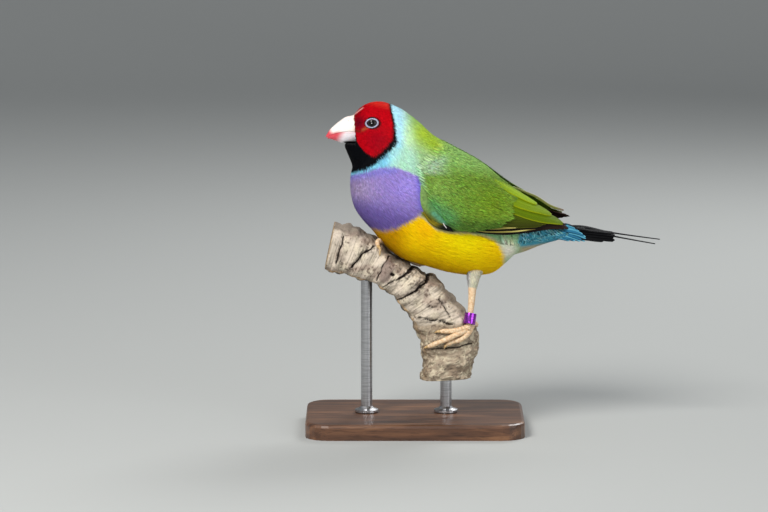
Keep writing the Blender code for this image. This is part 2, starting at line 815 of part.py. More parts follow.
# Legs and feet
LEGS = {
    "left": {
        "thigh": [(25.0, -6.5, 66.0), (22.6, -8.0, 61.0), (22.2, -9.0, 58.2), (21.9, -9.6, 55.4)],
        "thigh_radii": [3.4, 2.9, 2.3, 1.55],
        "shank": [
            (21.9, -9.5, 56.2),
            (21.8, -9.9, 53.2),
            (21.3, -10.6, 47.3),
            (20.5, -11.6, 41.8),
            (20.0, -12.1, 40.2),
        ],
        "shank_radii": [1.5, 1.25, 1.0, 1.0, 1.35],
    },
    "right": {
        "thigh": [(9.0, 6.5, 69.5), (6.4, 6.2, 66.0), (3.8, 5.6, 63.9), (1.6, 5.0, 63.5)],
        "thigh_radii": [2.8, 2.3, 1.8, 1.5],
        "shank": [
            (2.6, 5.2, 63.3),
            (-0.8, 4.3, 64.4),
            (-4.6, 3.0, 67.2),
            (-8.2, 1.6, 70.2),
            (-10.0, 0.8, 71.9),
        ],
        "shank_radii": [1.45, 1.25, 1.0, 1.0, 1.2],
    },
}
# Toes in the side view, as (x, z) on the rim's face, from the foot's middle to the claw's root
TOE_RADII = [1.3, 1.0, 1.05, 0.9, 0.9, 0.62]
TOE_STEPS = 6
TOE_SIDES = 6
CLAW_RADII = [0.66, 0.5, 0.34, 0.12]
LEFT_TOES = {
    "middle": [(20.0, 40.3), (16.8, 38.9), (13.5, 37.4), (10.4, 36.0), (7.6, 34.8), (5.6, 33.6)],
    "inner": [(20.2, 39.9), (18.8, 37.8), (16.9, 36.4), (14.8, 35.7), (13.2, 35.1), (12.2, 34.5)],
    "outer": [(20.0, 41.2), (17.8, 40.4), (15.4, 39.9), (13.0, 39.7), (11.2, 39.8), (9.8, 39.6)],
}
LEFT_CLAWS = {"middle": (3.4, 32.2), "inner": (11.1, 32.6), "outer": (7.5, 38.9)}
LEFT_PALM = (20.3, 40.6)


def spread_radii(radii, count):
    """A limb's radii at count even steps along it."""
    rows = [(radius,) for radius in radii]
    return [between(rows, (len(radii) - 1) * k / (count - 1))[0] for k in range(count)]


def toe_radii():
    return spread_radii(TOE_RADII, TOE_STEPS)


def claw_from(root, tip, arch, grow=0.0):
    """A curved claw from its root to its tip, arching away from the perch."""
    spots = smooth_path([root, (root + tip) / 2 + arch, tip], 4)
    return tube("claw", spots, CLAW_RADII, sides=5, grow=grow)


def left_foot(grow=0.0):
    palm = ball(1.5 + grow, rim_spot(*LEFT_PALM, 1.3), 10, 6)
    pieces = []
    for name, path in LEFT_TOES.items():
        spots = [rim_spot(x, z, radius + 0.3) for (x, z), radius in zip(path, TOE_RADII)]
        pieces.append(tube("toe", smooth_path(spots, TOE_STEPS), toe_radii(), TOE_SIDES, grow=grow))
        root, tip = rim_spot(*path[-1], 0.6), rim_spot(*LEFT_CLAWS[name], 0.25)
        pieces.append(claw_from(root, tip, Vector((-0.1, -0.7, 0.2)), grow))
    pieces += toe_round_rim(HIND_LEFT, HIND_LEFT_CLAW, grow)
    return boolean(palm, pieces, "UNION")


# The right foot grips the rim's crest under the breast, and one toe shows on the rim's face.
# Its toes are (angle round the hollow, turn round the rim's section)
RIGHT_TOES = {
    "inner": [(58.8, 2), (60.2, 8), (61.4, 15), (62.0, 23), (61.9, 31), (61.3, 39)],
    "middle": [(58.8, 0), (59.7, -16), (60.5, -30), (61.3, -42), (62.1, -52), (62.8, -60)],
    "outer": [(58.6, -4), (58.0, -20), (57.5, -36), (57.1, -48), (56.8, -57), (56.6, -66)],
    "hind": [(58.2, -2), (56.4, -6), (54.4, -11), (52.6, -18), (51.2, -27), (50.4, -37)],
}
RIGHT_CLAWS = {"inner": (59.1, 61), "middle": (63.6, -82), "outer": (56.2, -86), "hind": (49.6, -58)}
HIND_LEFT = [(19.6, 44), (20.1, 30), (19.9, 15), (19.0, 0), (18.0, -14), (17.1, -28)]
HIND_LEFT_CLAW = (15.6, -50)


def toe_round_rim(path, tip, grow=0.0):
    """A toe laid round the log's rim by angle and turn, with the claw that ends it."""
    spots = [rim_point(angle, turn, radius + 0.3) for (angle, turn), radius in zip(path, TOE_RADII)]
    root, end = rim_point(*path[-1], 0.55), rim_point(*tip, 0.2)
    middle = rim_point((path[-1][0] + tip[0]) / 2, (path[-1][1] + tip[1]) / 2, 1.5)
    arch = middle - (root + end) / 2
    toe = tube("toe", smooth_path(spots, TOE_STEPS), toe_radii(), TOE_SIDES, grow=grow)
    return [toe, claw_from(root, end, arch, grow)]


def right_foot(grow=0.0):
    palm = ball(1.45 + grow, rim_point(58.6, 0, 1.3), 10, 6)
    pieces = []
    for name, path in RIGHT_TOES.items():
        pieces += toe_round_rim(path, RIGHT_CLAWS[name], grow)
    return boolean(palm, pieces, "UNION")


def foot(side, grow=0.0):
    return left_foot(grow) if side == "left" else right_foot(grow)


def thigh(side, grow=0.0):
    leg = LEGS[side]
    spots = smooth_path([Vector(p) for p in leg["thigh"]], 6)
    return tube("thigh", spots, spread_radii(leg["thigh_radii"], 6), sides=10, grow=grow)


def shank(side, grow=0.0):
    leg = LEGS[side]
    spots = smooth_path([Vector(p) for p in leg["shank"]], 8)
    return tube("shank", spots, spread_radii(leg["shank_radii"], 8), sides=8, grow=grow)


RING_CENTRE = (21.0, -11.05, 44.2)
RING_AXIS = (0.85, 1.35, 5.5)
RING_HEIGHT = 4.2
RING_OUTER = 2.3
RING_INNER = 1.75


def turned(name, profile, steps, closed=False):
    """A solid of revolution about the vertical, from a profile of radius and height."""
    mesh = bpy.data.meshes.new(name)
    edges = [(k, k + 1) for k in range(len(profile) - 1)]
    if closed:
        edges.append((len(profile) - 1, 0))
    mesh.from_pydata([(r * MM, 0, h * MM) for r, h in profile], edges, [])
    thing = bpy.data.objects.new(name, mesh)
    bpy.context.scene.collection.objects.link(thing)
    turn = thing.modifiers.new("turn", "SCREW")
    turn.steps = turn.render_steps = steps
    turn.use_merge_vertices = True
    turn.merge_threshold = 0.00001
    select_only(thing)
    bpy.ops.object.modifier_apply(modifier=turn.name)
    return recalculate(thing)


def leg_ring(outer, inner, grow=0.0):
    """The anodised breeder's ring round the left shank, a short turned tube."""
    half = RING_HEIGHT / 2 + grow
    corners = [(inner, half), (outer, half), (outer, -half), (inner, -half)]
    ring = turned("leg_ring", corners, 22, closed=True)
    along = Vector(RING_AXIS).normalized()
    lean = Vector((0, 0, 1)).rotation_difference(along).to_matrix().to_4x4()
    ring.data.transform(Matrix.Translation(Vector(RING_CENTRE) * MM) @ lean)
    return ring


# The display stand
def make_base(finish):
    bpy.ops.mesh.primitive_cube_add(size=1.0)
    base = bpy.context.object
    base.data.transform(Matrix.Diagonal((BASE_LENGTH * MM, BASE_WIDTH * MM, BASE_THICKNESS * MM, 1)))
    base.data.transform(Matrix.Translation((0, 0, BASE_THICKNESS * MM / 2)))
    work = bmesh.new()
    work.from_mesh(base.data)
    upright = [e for e in work.edges if abs(e.verts[0].co.z - e.verts[1].co.z) > BASE_THICKNESS * MM / 2]
    bmesh.ops.bevel(work, geom=upright, offset=BASE_CORNER * MM, segments=5, affect="EDGES", profile=0.5)
    level = (BASE_THICKNESS - 0.1) * MM
    top = [e for e in work.edges if all(v.co.z > level for v in e.verts) and len(e.link_faces) == 2]
    bmesh.ops.bevel(work, geom=top, offset=1.2 * MM, segments=2, affect="EDGES", profile=0.5)
    work.to_mesh(base.data)
    work.free()
    return finish_node(base, "stand_base", finish)


def make_rod(name, x, top, finish, cutter):
    """A turned rod with a small flange that stands on the base, cut to meet the log's underside."""
    foot = BASE_THICKNESS + GAP
    profile = [
        (0.0, top),
        (ROD_RADIUS, top),
        (ROD_RADIUS, foot + ROD_FLANGE_HEIGHT + 0.8),
        (ROD_RADIUS + 0.8, foot + ROD_FLANGE_HEIGHT),
        (ROD_FLANGE_RADIUS, foot + ROD_FLANGE_HEIGHT * 0.6),
        (ROD_FLANGE_RADIUS, foot),
        (0.0, foot),
    ]
    rod = turned(name, profile, 20)
    rod.data.transform(Matrix.Translation((x * MM, 0, 0)))
    boolean(rod, [cutter], "DIFFERENCE")
    return finish_node(rod, name, finish)


def main():
    clear_scene()
    red = material("red_mask", (0.62, 0.01, 0.02), 0.75)
    aqua = material("collar_aqua", (0.35, 0.68, 0.78), 0.75)
    violet = material("breast_violet", (0.28, 0.18, 0.55), 0.75)
    green = material("wing_green", (0.16, 0.33, 0.06), 0.7)
    blue = material("rump_blue", (0.08, 0.34, 0.48), 0.7)
    black = material("tail_black", (0.012, 0.012, 0.014), 0.6)
    horn = material("bill_horn", (0.85, 0.78, 0.74), 0.35)
    iris = material("eye_dark", (0.015, 0.01, 0.008), 0.08)
    skin = material("leg_skin", (0.72, 0.47, 0.33), 0.55)
    down = material("thigh_down", (0.78, 0.74, 0.68), 0.85)
    anodised = material("ring_purple", (0.25, 0.02, 0.5), 0.25, 1.0)
    bark = material("weathered_wood", (0.45, 0.39, 0.31), 0.85)
    walnut = material("base_walnut", (0.09, 0.045, 0.022), 0.4)
    steel = material("rod_steel", (0.55, 0.55, 0.56), 0.3, 1.0)

    make_head(red)
    make_bill(horn)
    make_eye("eye_left", -1, iris)
    make_eye("eye_right", 1, iris)
    finish_node(body_length("neck", NECK_FROM, TORSO_FROM, 4), "neck", aqua)

    torso = body_length("torso", TORSO_FROM, RUMP_FROM, TORSO_STEPS)
    limbs = [piece(side, GAP) for side in ("left", "right") for piece in (thigh, shank, foot)]
    pockets = [wing_base(-1, GAP), raise_wing(wing_base(1, GAP))]
    boolean(torso, limbs + pockets, "DIFFERENCE")
    finish_node(torso, "torso", violet)

    rump = boolean(whole_rump(), [body_length("cut", TORSO_FROM, RUMP_FROM, TORSO_STEPS, GAP)], "DIFFERENCE")
    finish_node(rump, "rump", blue)
    tail = whole_tail()
    tail_room = [whole_rump(GAP), body_length("cut", TORSO_FROM, RUMP_FROM, TORSO_STEPS, GAP)]
    boolean(tail, tail_room, "DIFFERENCE")
    finish_node(tail, "tail", black)

    def body_clearance():
        return [
            body_length("cut", NECK_FROM, TORSO_FROM, 4, GAP),
            body_length("cut", TORSO_FROM, RUMP_FROM, TORSO_STEPS, GAP),
            whole_rump(GAP),
            whole_tail(GAP),
        ]

    finish_node(whole_wing(-1, cutters=body_clearance()), "wing_left", green)
    right_wing = whole_wing(1, cutters=body_clearance())
    finish_node(boolean(right_wing, [whole_wing(-1, GAP)], "DIFFERENCE"), "wing_right", green)

    for side in ("left", "right"):
        leg = boolean(thigh(side), [shank(side)], "UNION")
        boolean(leg, [foot(side, GAP), rim_solid(GAP)], "DIFFERENCE")
        finish_node(leg, f"leg_{side}", down)
        gripping = boolean(foot(side), [rim_solid(GAP), leg_ring(RING_OUTER + GAP, 0.4, GAP)], "DIFFERENCE")
        finish_node(gripping, f"foot_{side}", skin)
    finish_node(leg_ring(RING_OUTER, RING_INNER), "leg_ring", anodised)

    finish_node(rim_solid(), "perch_log_rim", bark, 50.0)
    make_base(walnut)
    for name, x, top in RODS:
        make_rod(name, x, top, steel, rim_solid(GAP))


main()
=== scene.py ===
# %% [markdown]
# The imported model
# The finch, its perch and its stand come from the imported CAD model, which is the fixed frame here.
# Every new piece is made in the same place and the same units, so nothing has to be fitted.
# Sizes below are millimetres, as on the real bird, and become metres when a mesh is made.

# %% Load the frame
import math

import bmesh
import bpy
import numpy as np
from mathutils import Matrix, Vector, noise


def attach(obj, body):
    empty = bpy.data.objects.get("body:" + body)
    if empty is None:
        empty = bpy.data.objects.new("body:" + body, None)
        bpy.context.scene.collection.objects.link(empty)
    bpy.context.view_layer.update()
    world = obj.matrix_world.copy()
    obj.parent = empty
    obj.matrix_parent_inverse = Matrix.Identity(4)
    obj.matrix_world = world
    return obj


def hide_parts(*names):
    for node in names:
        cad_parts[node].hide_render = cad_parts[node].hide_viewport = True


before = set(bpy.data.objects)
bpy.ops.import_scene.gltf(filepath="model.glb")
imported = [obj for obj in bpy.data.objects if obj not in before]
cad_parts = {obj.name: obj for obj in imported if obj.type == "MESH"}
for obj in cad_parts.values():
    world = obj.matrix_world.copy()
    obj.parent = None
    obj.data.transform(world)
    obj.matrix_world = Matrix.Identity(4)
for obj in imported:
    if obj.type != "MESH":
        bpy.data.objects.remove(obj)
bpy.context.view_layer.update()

MM = 0.001
rng = np.random.default_rng(41)

# %% [markdown]
# The camera
# The photograph was taken with a long lens from about 8 degrees above the bird, square to its left
# side. A long lens far away keeps the bird's proportions, where a short one would swell the near wing.

# %% Camera and view
VIEW_CENTRE = (-11.9, 0.0, 66.9)
VIEW_WIDTH = 295.4
VIEW_DISTANCE = 1600.0
VIEW_ELEVATION = math.radians(8.0)
SENSOR = 36.0

camera = bpy.data.objects.new("camera", bpy.data.cameras.new("camera"))
bpy.context.scene.collection.objects.link(camera)
camera.data.sensor_width = SENSOR
camera.data.lens = SENSOR * VIEW_DISTANCE / VIEW_WIDTH
back = Vector((0.0, -math.cos(VIEW_ELEVATION), math.sin(VIEW_ELEVATION)))
camera.location = (Vector(VIEW_CENTRE) + back * VIEW_DISTANCE) * MM
camera.rotation_mode = "QUATERNION"
camera.rotation_quaternion = (-back).to_track_quat("-Z", "Y")
camera.data.clip_end = 20.0
bpy.context.scene.camera = camera
bpy.context.scene.view_settings.view_transform = "Standard"
print("lens", round(camera.data.lens), "mm")

# %% [markdown]
# Curves through named rows
# The bird's body is a row of oval slices, as a boat's hull is drawn: each has a dorsal point, a
# ventral point and a half width. A smooth curve through the rows gives the slice at any place.

# %% A smooth curve through rows
def along(rows, place):
    rows = np.asarray(rows, float)
    last = len(rows) - 1
    place = np.clip(np.asarray(place, float), 0, last)
    first = np.minimum(place.astype(int), last - 1)
    s = (place - first)[..., None]
    a, b, c, d = (rows[np.clip(first + k, 0, last)] for k in (-1, 0, 1, 2))
    start = (2 * s**3 - 3 * s**2 + 1) * b + (s**3 - 2 * s**2 + s) * (c - a) / 2
    return start + (3 * s**2 - 2 * s**3) * c + (s**3 - s**2) * (d - b) / 2


def unit(arrows):
    return arrows / np.maximum(np.linalg.norm(arrows, axis=-1, keepdims=True), 1e-9)


def direction(rows, place, step):
    """The way the curve runs at each place."""
    last = len(rows) - 1
    return unit(along(rows, np.minimum(place + step, last)) - along(rows, np.maximum(place - step, 0)))

# %% A smooth form through slices
class Form:
    """A point has a place along the form and an angle round it: 90 degrees is dorsal, -90 ventral,
    0 the left side at -Y and 180 the right side."""

    def __init__(self, rows, first=0.0, fullness=0.86, sag=0.06, shelf=0):
        self.rows = np.array([(*dorsal, *ventral, half) for dorsal, ventral, half in rows], float)
        self.first, self.end = first, first + len(rows) - 1
        self.fullness, self.sag, self.shelf = fullness, sag, shelf

    def bare(self, place, angle):
        dx, dz, vx, vz, half = np.moveaxis(along(self.rows, np.asarray(place) - self.first), -1, 0)
        turn = np.radians(angle)
        side, up = np.cos(turn), np.sin(turn)
        rise = up - self.sag * side**2
        if self.shelf:
            edge = self.shelf * np.maximum(1 - 2 * np.abs(up), -1.0)
            rise = np.where(up * self.shelf < 0, edge, self.shelf)
        across = -half * np.sign(side) * np.abs(side) ** self.fullness
        x, z = (dx + vx) / 2 + (dx - vx) / 2 * rise, (dz + vz) / 2 + (dz - vz) / 2 * rise
        return np.stack([x, across, z], -1)

    def steps(self, place, angle):
        """How the surface moves per unit of place and per degree, in millimetres."""
        low, high = np.clip(place - 0.02, self.first, self.end), np.clip(place + 0.02, self.first, self.end)
        ahead = (self.bare(high, angle) - self.bare(low, angle)) / (high - low)[..., None]
        return ahead, (self.bare(place, angle + 1.0) - self.bare(place, angle - 1.0)) / 2

    def outward(self, place, angle):
        return unit(np.cross(*self.steps(place, angle)))

    def at(self, place, angle, lift=0.0):
        place, angle, lift = np.broadcast_arrays(np.asarray(place, float), angle, lift)
        return self.bare(place, angle) + self.outward(place, angle) * lift[..., None]

# %% The body's slices
# Each slice has its dorsal point, its ventral point and its half width
BODY = Form([
    ((-23.8, 121.0), (-27.3, 110.2), 4.4),
    ((-20.8, 124.3), (-25.8, 106.5), 6.9),
    ((-17.3, 126.1), (-24.6, 103.7), 8.5),
    ((-13.1, 126.5), (-24.0, 101.3), 9.5),
    ((-9.0, 125.4), (-24.6, 98.7), 10.6),
    ((-4.2, 122.9), (-24.8, 95.0), 13.0),
    ((1.2, 118.8), (-24.4, 90.4), 16.0),
    ((6.5, 113.8), (-22.9, 85.6), 18.2),
    ((12.3, 110.4), (-20.0, 81.3), 19.4),
    ((18.1, 107.3), (-16.3, 77.3), 19.9),
    ((23.8, 104.2), (-11.2, 71.2), 19.3),
    ((28.8, 100.6), (-4.6, 66.3), 18.9),
    ((33.5, 96.3), (3.8, 63.6), 18.0),
    ((37.7, 91.9), (13.1, 61.0), 16.6),
    ((41.9, 87.7), (21.9, 59.9), 14.4),
    ((46.2, 84.4), (29.2, 60.6), 11.8),
    ((49.6, 82.1), (33.3, 63.8), 9.7),
    ((52.7, 80.4), (35.4, 66.7), 7.9),
    ((55.8, 79.0), (41.9, 69.0), 6.3),
    ((58.8, 78.1), (48.8, 71.7), 5.2),
    ((62.3, 77.1), (55.0, 73.3), 4.0),
    ((66.6, 76.0), (61.5, 73.6), 2.8),
    ((71.5, 75.0), (68.5, 73.4), 1.6),
])
BODY_END = 20.0

# The surface that the folded wings share, over the body, from the breast back
WING_COAT = Form([
    ((6.5, 113.8), (-22.9, 85.6), 18.4),
    ((12.3, 110.8), (-20.0, 81.3), 20.0),
    ((18.1, 107.7), (-16.3, 77.3), 20.9),
    ((23.8, 104.6), (-11.2, 71.2), 21.1),
    ((28.8, 101.2), (-4.6, 66.3), 21.0),
    ((33.8, 97.4), (3.8, 63.6), 20.3),
    ((38.8, 93.6), (14.2, 61.2), 18.9),
    ((43.8, 90.0), (25.8, 61.2), 16.6),
    ((48.5, 86.8), (35.8, 64.6), 13.8),
    ((52.3, 84.0), (44.2, 69.2), 11.0),
    ((55.8, 81.5), (51.2, 73.1), 8.4),
    ((58.5, 79.8), (56.5, 75.4), 6.2),
    ((60.8, 78.5), (60.4, 76.9), 4.6),
], first=7.0, sag=0.0)
print("body", len(BODY.rows), "slices, wings", len(WING_COAT.rows))

# %% [markdown]
# Colours
# Colours were read as screen values, and a shader wants them linear, so one helper turns a
# screen colour of 0 to 255 into linear light.

# %% Screen colours to linear light
def linear(*screen):
    value = np.array(screen, float) / 255
    return np.where(value <= 0.04045, value / 12.92, ((value + 0.055) / 1.055) ** 2.4)

# %% [markdown]
# The markings
# A Gouldian finch wears flat areas of colour with sharp edges: a red mask, a black throat, a
# turquoise collar, a violet breast, a yellow belly and a green back. Each area is an outline drawn
# on the side view. Every feather and the skin below it ask the same function for their colour, so
# the edges are as ragged as the feathers are, and both sides of the bird match.

# %% Outlines of the markings, in the side view
MASK = [
    (-10.4, 133), (-10.2, 125.8), (-9.7, 123.1), (-9.1, 120), (-8.5, 116.9), (-8.6, 111.9), (-10.4, 108.8),
    (-13.5, 106.2), (-15.8, 104.4), (-18.8, 106.2), (-21.2, 108.8), (-22.2, 110.6), (-22.4, 112.6),
    (-31, 113.4), (-31, 133),
]
THROAT = [
    (-9.4, 133), (-9.4, 126.9), (-8.9, 123.1), (-8.2, 120), (-7.5, 116.4), (-7.1, 112.3), (-6.7, 110.0),
    (-9.6, 106.4), (-12.7, 103.7), (-15.8, 101.2), (-18.8, 99.6), (-23.1, 98.8), (-33, 98.8), (-33, 133),
]
COLLAR = [
    (-4.2, 133), (-4.2, 124.6), (-3.5, 119.2), (-4, 113.5), (-4.2, 108.5), (-5.8, 104.6), (-7.7, 101.5),
    (-10.4, 99.6), (-13.5, 97), (-18.8, 95.2), (-24.6, 94.6), (-33, 94.4), (-34, 133),
]
BREAST = [
    (-33, 97.1), (-24.6, 97.7), (-18.8, 98.8), (-13.5, 100.4), (-7.7, 100.6), (-2.7, 98.8), (1.5, 96.9),
    (2.3, 93.1), (3.8, 89.6), (3.1, 84.6), (1.2, 81.9), (-2.7, 79.6), (-7.3, 77.3), (-11.9, 76.2),
    (-15, 77.1), (-33, 80),
]
BELLY = [
    (-33, 80), (-15, 77.1), (-11.9, 76.2), (-7.3, 77.3), (-2.7, 79.6), (1.5, 82.0), (3.8, 80.4), (8.1, 76.5),
    (13.5, 75.4), (21.2, 75.2), (26.9, 74.2), (30, 72.7), (32.3, 70.4), (33.8, 66.5), (33.8, 63.1),
    (32.7, 55), (-33, 50),
]
VENT = [(22, 76.4), (34, 76.0), (46, 75.0), (62, 74.0), (62, 50), (22, 50)]
RUMP = [
    (36.5, 97), (37.5, 88), (38.8, 80), (40.2, 75.8), (39.0, 72.2), (40.4, 70.4), (44, 70.7), (48, 71.4),
    (54, 72.2), (60, 71.6), (75, 70), (75, 97),
]
VIEW_TILT = (math.sin(VIEW_ELEVATION), math.cos(VIEW_ELEVATION))


def side_view(spots):
    """Where a point of either side is seen from the camera's height: along, and up."""
    above = spots[..., 2] - VIEW_CENTRE[2]
    up = VIEW_CENTRE[2] + above * VIEW_TILT[1] - np.abs(spots[..., 1]) * VIEW_TILT[0]
    return np.stack([spots[..., 0], up], -1)


def off_line(flat, start, end):
    """How far points lie off a line between two places, and their share of the way along it."""
    run = np.subtract(end, start)
    share = np.clip(((flat - start) @ run) / (run @ run), 0, 1)
    return np.linalg.norm(flat - start - share[..., None] * run, axis=-1), share


def inside(outline, flat):
    """How far a point lies inside an outline, in millimetres, negative outside it."""
    corners = np.array(outline, float)
    x, z = flat[..., 0], flat[..., 1]
    nearest = np.full(x.shape, np.inf)
    within = np.zeros(x.shape, bool)
    for start, end in zip(corners, np.roll(corners, -1, 0)):
        nearest = np.minimum(nearest, off_line(flat, start, end)[0])
        (x0, z0), (x1, z1) = start, end
        if z0 != z1:
            within ^= ((z0 > z) != (z1 > z)) & (x < x0 + (z - z0) * (x1 - x0) / (z1 - z0))
    return np.where(within, nearest, -nearest)


def patch(flat, x, z, radius):
    """A soft round patch: 1 at its middle and 0 well outside it."""
    return np.exp(-(((flat[..., 0] - x) ** 2 + (flat[..., 1] - z) ** 2) / radius**2))[..., None]


def ramp(value, low, high):
    share = np.clip((value - low) / (high - low), 0, 1)
    return (share * share * (3 - 2 * share))[..., None]

# %% The colour of each area
def near_line(flat, start, end, radius):
    """A soft line between two places: 1 on it and 0 well off it."""
    return np.exp(-((off_line(flat, start, end)[0] / radius) ** 2))[..., None]


def layered(base, flat, layers):
    """A colour with others laid over it. A layer gives its colour, its share and where it lies: a
    mask, or a patch's x, z and radius, or a line's start, end and radius."""
    made = np.broadcast_to(linear(*base), (*flat.shape[:-1], 3))
    for colour, share, *where in layers:
        if len(where) == 1:
            mask = where[0]
        else:
            mask = (near_line if isinstance(where[0], tuple) else patch)(flat, *where)
        colour = linear(*colour) if isinstance(colour, tuple) else colour
        made = made + (colour - made) * share * mask
    return made


def mask_colour(flat):
    """Red, with a dark lore, a dark edge along the bill, painted shade round the lid and a painted highlight as a
    pale streak on the brow.
    """
    x, z = flat[..., 0], flat[..., 1]
    off_lid = np.hypot((x + 16.2) / 2.85, (z - 117.56) / 2.1) - 1
    return layered((184, 1, 16), flat, [
        ((146, 0, 20), 0.9, -14.5, 110.4, 5.0),
        ((104, 2, 24), 0.95, -21.6, 117.6, 3.1),
        # Lighter orange-red toward the top of the crown: partly the feathers' own orange-red edges and partly
        # painted highlight where the crown faces the light
        ((214, 40, 30), 0.85, ramp(z + 0.25 * (x + 13), 122.6, 125.0)),
        # Painted highlight: a pale streak along the brow
        ((255, 206, 200), 0.8, (-23.0, 121.2), (-20.0, 123.5), 0.2),
        ((84, 12, 18), 0.7, (-23.7, 121.4), (-22.9, 112.6), 0.4),
        # Painted shade: a dark line round the lid, where it meets the feathers
        ((34, 4, 10), 0.8, np.exp(-((off_lid / 0.12) ** 2))[..., None]),
        ((164, 92, 52), 0.65, (-20.0, 114.9), (-18.4, 115.8), 0.5),
        ((92, 40, 20), 0.6, (-22.9, 114.7), (-20.8, 114.2), 0.4),
    ])


def back_colour(flat):
    """Green, from mint behind the collar through lime to the darker wing."""
    x, z = flat[..., 0], flat[..., 1]
    pale = ramp(0.65 * (117 - z) - x, -3.5, 4.0) * ramp(z, 96.5, 99.5)
    mint = ramp(0.22 * (117 - z) - 1.8 - x, -1.8, 2.6) * ramp(z, 90.0, 97.0)
    return layered((146, 193, 100), flat, [
        ((140, 182, 74), 0.8, 30, 93, 10),
        ((160, 190, 186), 0.7, (32.4, 98.0), (36.0, 95.4), 0.5),
        ((114, 152, 54), 1.0, ramp(103 - z - 0.10 * (x - 10), 0.0, 6.0)),
        ((132, 168, 76), 0.8, 9, 93, 6.5),
        ((120, 150, 32), 0.8, 30, 87, 8),
        ((72, 104, 38), 0.9, ramp(83.5 - z - 0.05 * (x - 10), 0.0, 5.0)),
        ((86, 150, 90), 0.85, (6.5, 86.0), (13.0, 81.5), 3.4),
        # Painted highlight: a teal streak low on the wing, over the sea green
        ((96, 186, 160), 0.7, (6.7, 83.0), (10.8, 79.4), 0.9),
        ((164, 200, 150), 0.8, pale),
        # Painted highlight: a pale bluish sheen on the shoulder
        ((176, 204, 180), 0.5, (6.0, 100.2), (10.5, 103.5), 2.0),
        ((176, 222, 196), 1.0, mint),
        ((206, 240, 198), 0.9, mint * ramp(z, 106.0, 111.0)),
        ((188, 218, 40), 0.9, 3.9, 114.0, 5.2),
        ((164, 194, 28), 0.85, 7.2, 110.0, 3.6),
        ((132, 168, 92), 1.0, ramp(6.0 - x, 0.0, 3.0) * ramp(95.0 - z, 0.0, 4.0)),
        ((112, 106, 24), 0.85, (3.0, 83.2), (8.8, 78.4), 1.5),
    ])


def breast_colour(flat):
    return layered((148, 128, 200), flat, [
        ((166, 148, 186), 0.9, -22, 91.5, 7.5),
        ((106, 88, 164), 0.8, ramp(86.5 - flat[..., 1] - 0.25 * flat[..., 0], 0.0, 8.0)),
        ((162, 142, 226), 0.85, -2, 93, 6),
        ((108, 100, 204), 0.85, (1.8, 95.5), (3.0, 84.5), 1.6),
        ((124, 122, 208), 0.7, (-25, 97), (-8, 99.5), 1.4),
    ])


def belly_colour(flat):
    return layered((252, 206, 2), flat, [
        ((255, 232, 4), 1.0, 19, 75, 10),
        ((255, 190, 4), 0.7, 4, 77, 4),
        ((206, 150, 2), 0.85, ramp(-flat[..., 1] - 0.25 * flat[..., 0], -70.0, -60.0)),
        ((196, 132, 2), 0.7, ramp(-flat[..., 0], 0.0, 9.0)),
    ])

# %% The colour of the whole bird
def wing_colour(spots, edge=0.0):
    return back_colour(side_view(spots))


def plumage(spots, edge=0.0):
    """The colour of feathers at points on the bird. edge shifts the markings' edges, in millimetres."""
    flat = side_view(spots)
    x, z = flat[..., 0], flat[..., 1]
    vent = layered((132, 186, 122), flat, [
        ((236, 231, 214), 1.0, 35.5, 69.0, 4.0),
        ((198, 182, 146), 1.0, ramp(x, 39.0, 42.0)),
    ])
    blue = layered((76, 158, 178), flat, [((58, 130, 160), 1.0, ramp(x, 46, 60))])
    band = layered((124, 198, 224), flat, [
        ((180, 231, 248), 1.0, ramp(z, 104, 114)),
        ((172, 226, 222), 0.85, ramp(x, -12.0, -7.5) * ramp(-z, -111.0, -106.0)),
    ])
    # Each marking has its outline, its colour, how soft its edge is, how far it grows, and its share
    markings = [
        (VENT, vent, 0.8, 0.0, 1.0),
        (RUMP, blue, 0.7, 0.0, 1.0),
        (BELLY, linear(226, 204, 150), 0.5, 0.7, 0.7),
        (BELLY, belly_colour(flat), 0.35, 0.0, 1.0),
        (COLLAR, band, 2.0, -0.3, 1.0),
        (BREAST, breast_colour(flat), 0.3, 0.0, 1.0),
        (THROAT, linear(8, 9, 13), 0.1, 0.0, 1.0),
        (MASK, mask_colour(flat), 0.1, 0.0, 1.0),
    ]
    made = back_colour(flat)
    for outline, colour, soft, grow, share in markings:
        made = made + (colour - made) * share * ramp(inside(outline, flat) + edge + grow, -soft, soft)
    return made


print("markings over", round(float(inside(BREAST, np.array([-12.0, 88.0]))), 1), "mm of breast")

# %% [markdown]
# Finishes
# Each finish is a small node graph. Feathers take their colour from an attribute on the mesh, and
# a fine pattern of barbs, slanting back from the shaft, gives the colour and the bump their grain.
# Other ways are painted images, which this model doesn't use, or noise alone, which has no lie.

# %% Helpers for node graphs
def new_finish(name, roughness, specular, more=()):
    finish = bpy.data.materials.new(name)
    finish.use_nodes = True
    shader = finish.node_tree.nodes["Principled BSDF"]
    for key, value in {"Roughness": roughness, "Specular IOR Level": specular, **dict(more)}.items():
        shader.inputs[key].default_value = value
    return finish, finish.node_tree, shader


def put(tree, socket, value):
    """Gives an input a value, or links another node's output to it."""
    if isinstance(value, bpy.types.NodeSocket):
        tree.links.new(value, socket)
    else:
        socket.default_value = value


def add_node(tree, kind, values=(), **settings):
    """A node with its settings and its inputs by name or number."""
    node = tree.nodes.new(kind)
    for key, value in settings.items():
        setattr(node, key, value)
    for key, value in dict(values).items():
        put(tree, node.inputs[key], value)
    return node


def sum_of(tree, operation, *values):
    return add_node(tree, "ShaderNodeMath", enumerate(values), operation=operation).outputs[0]


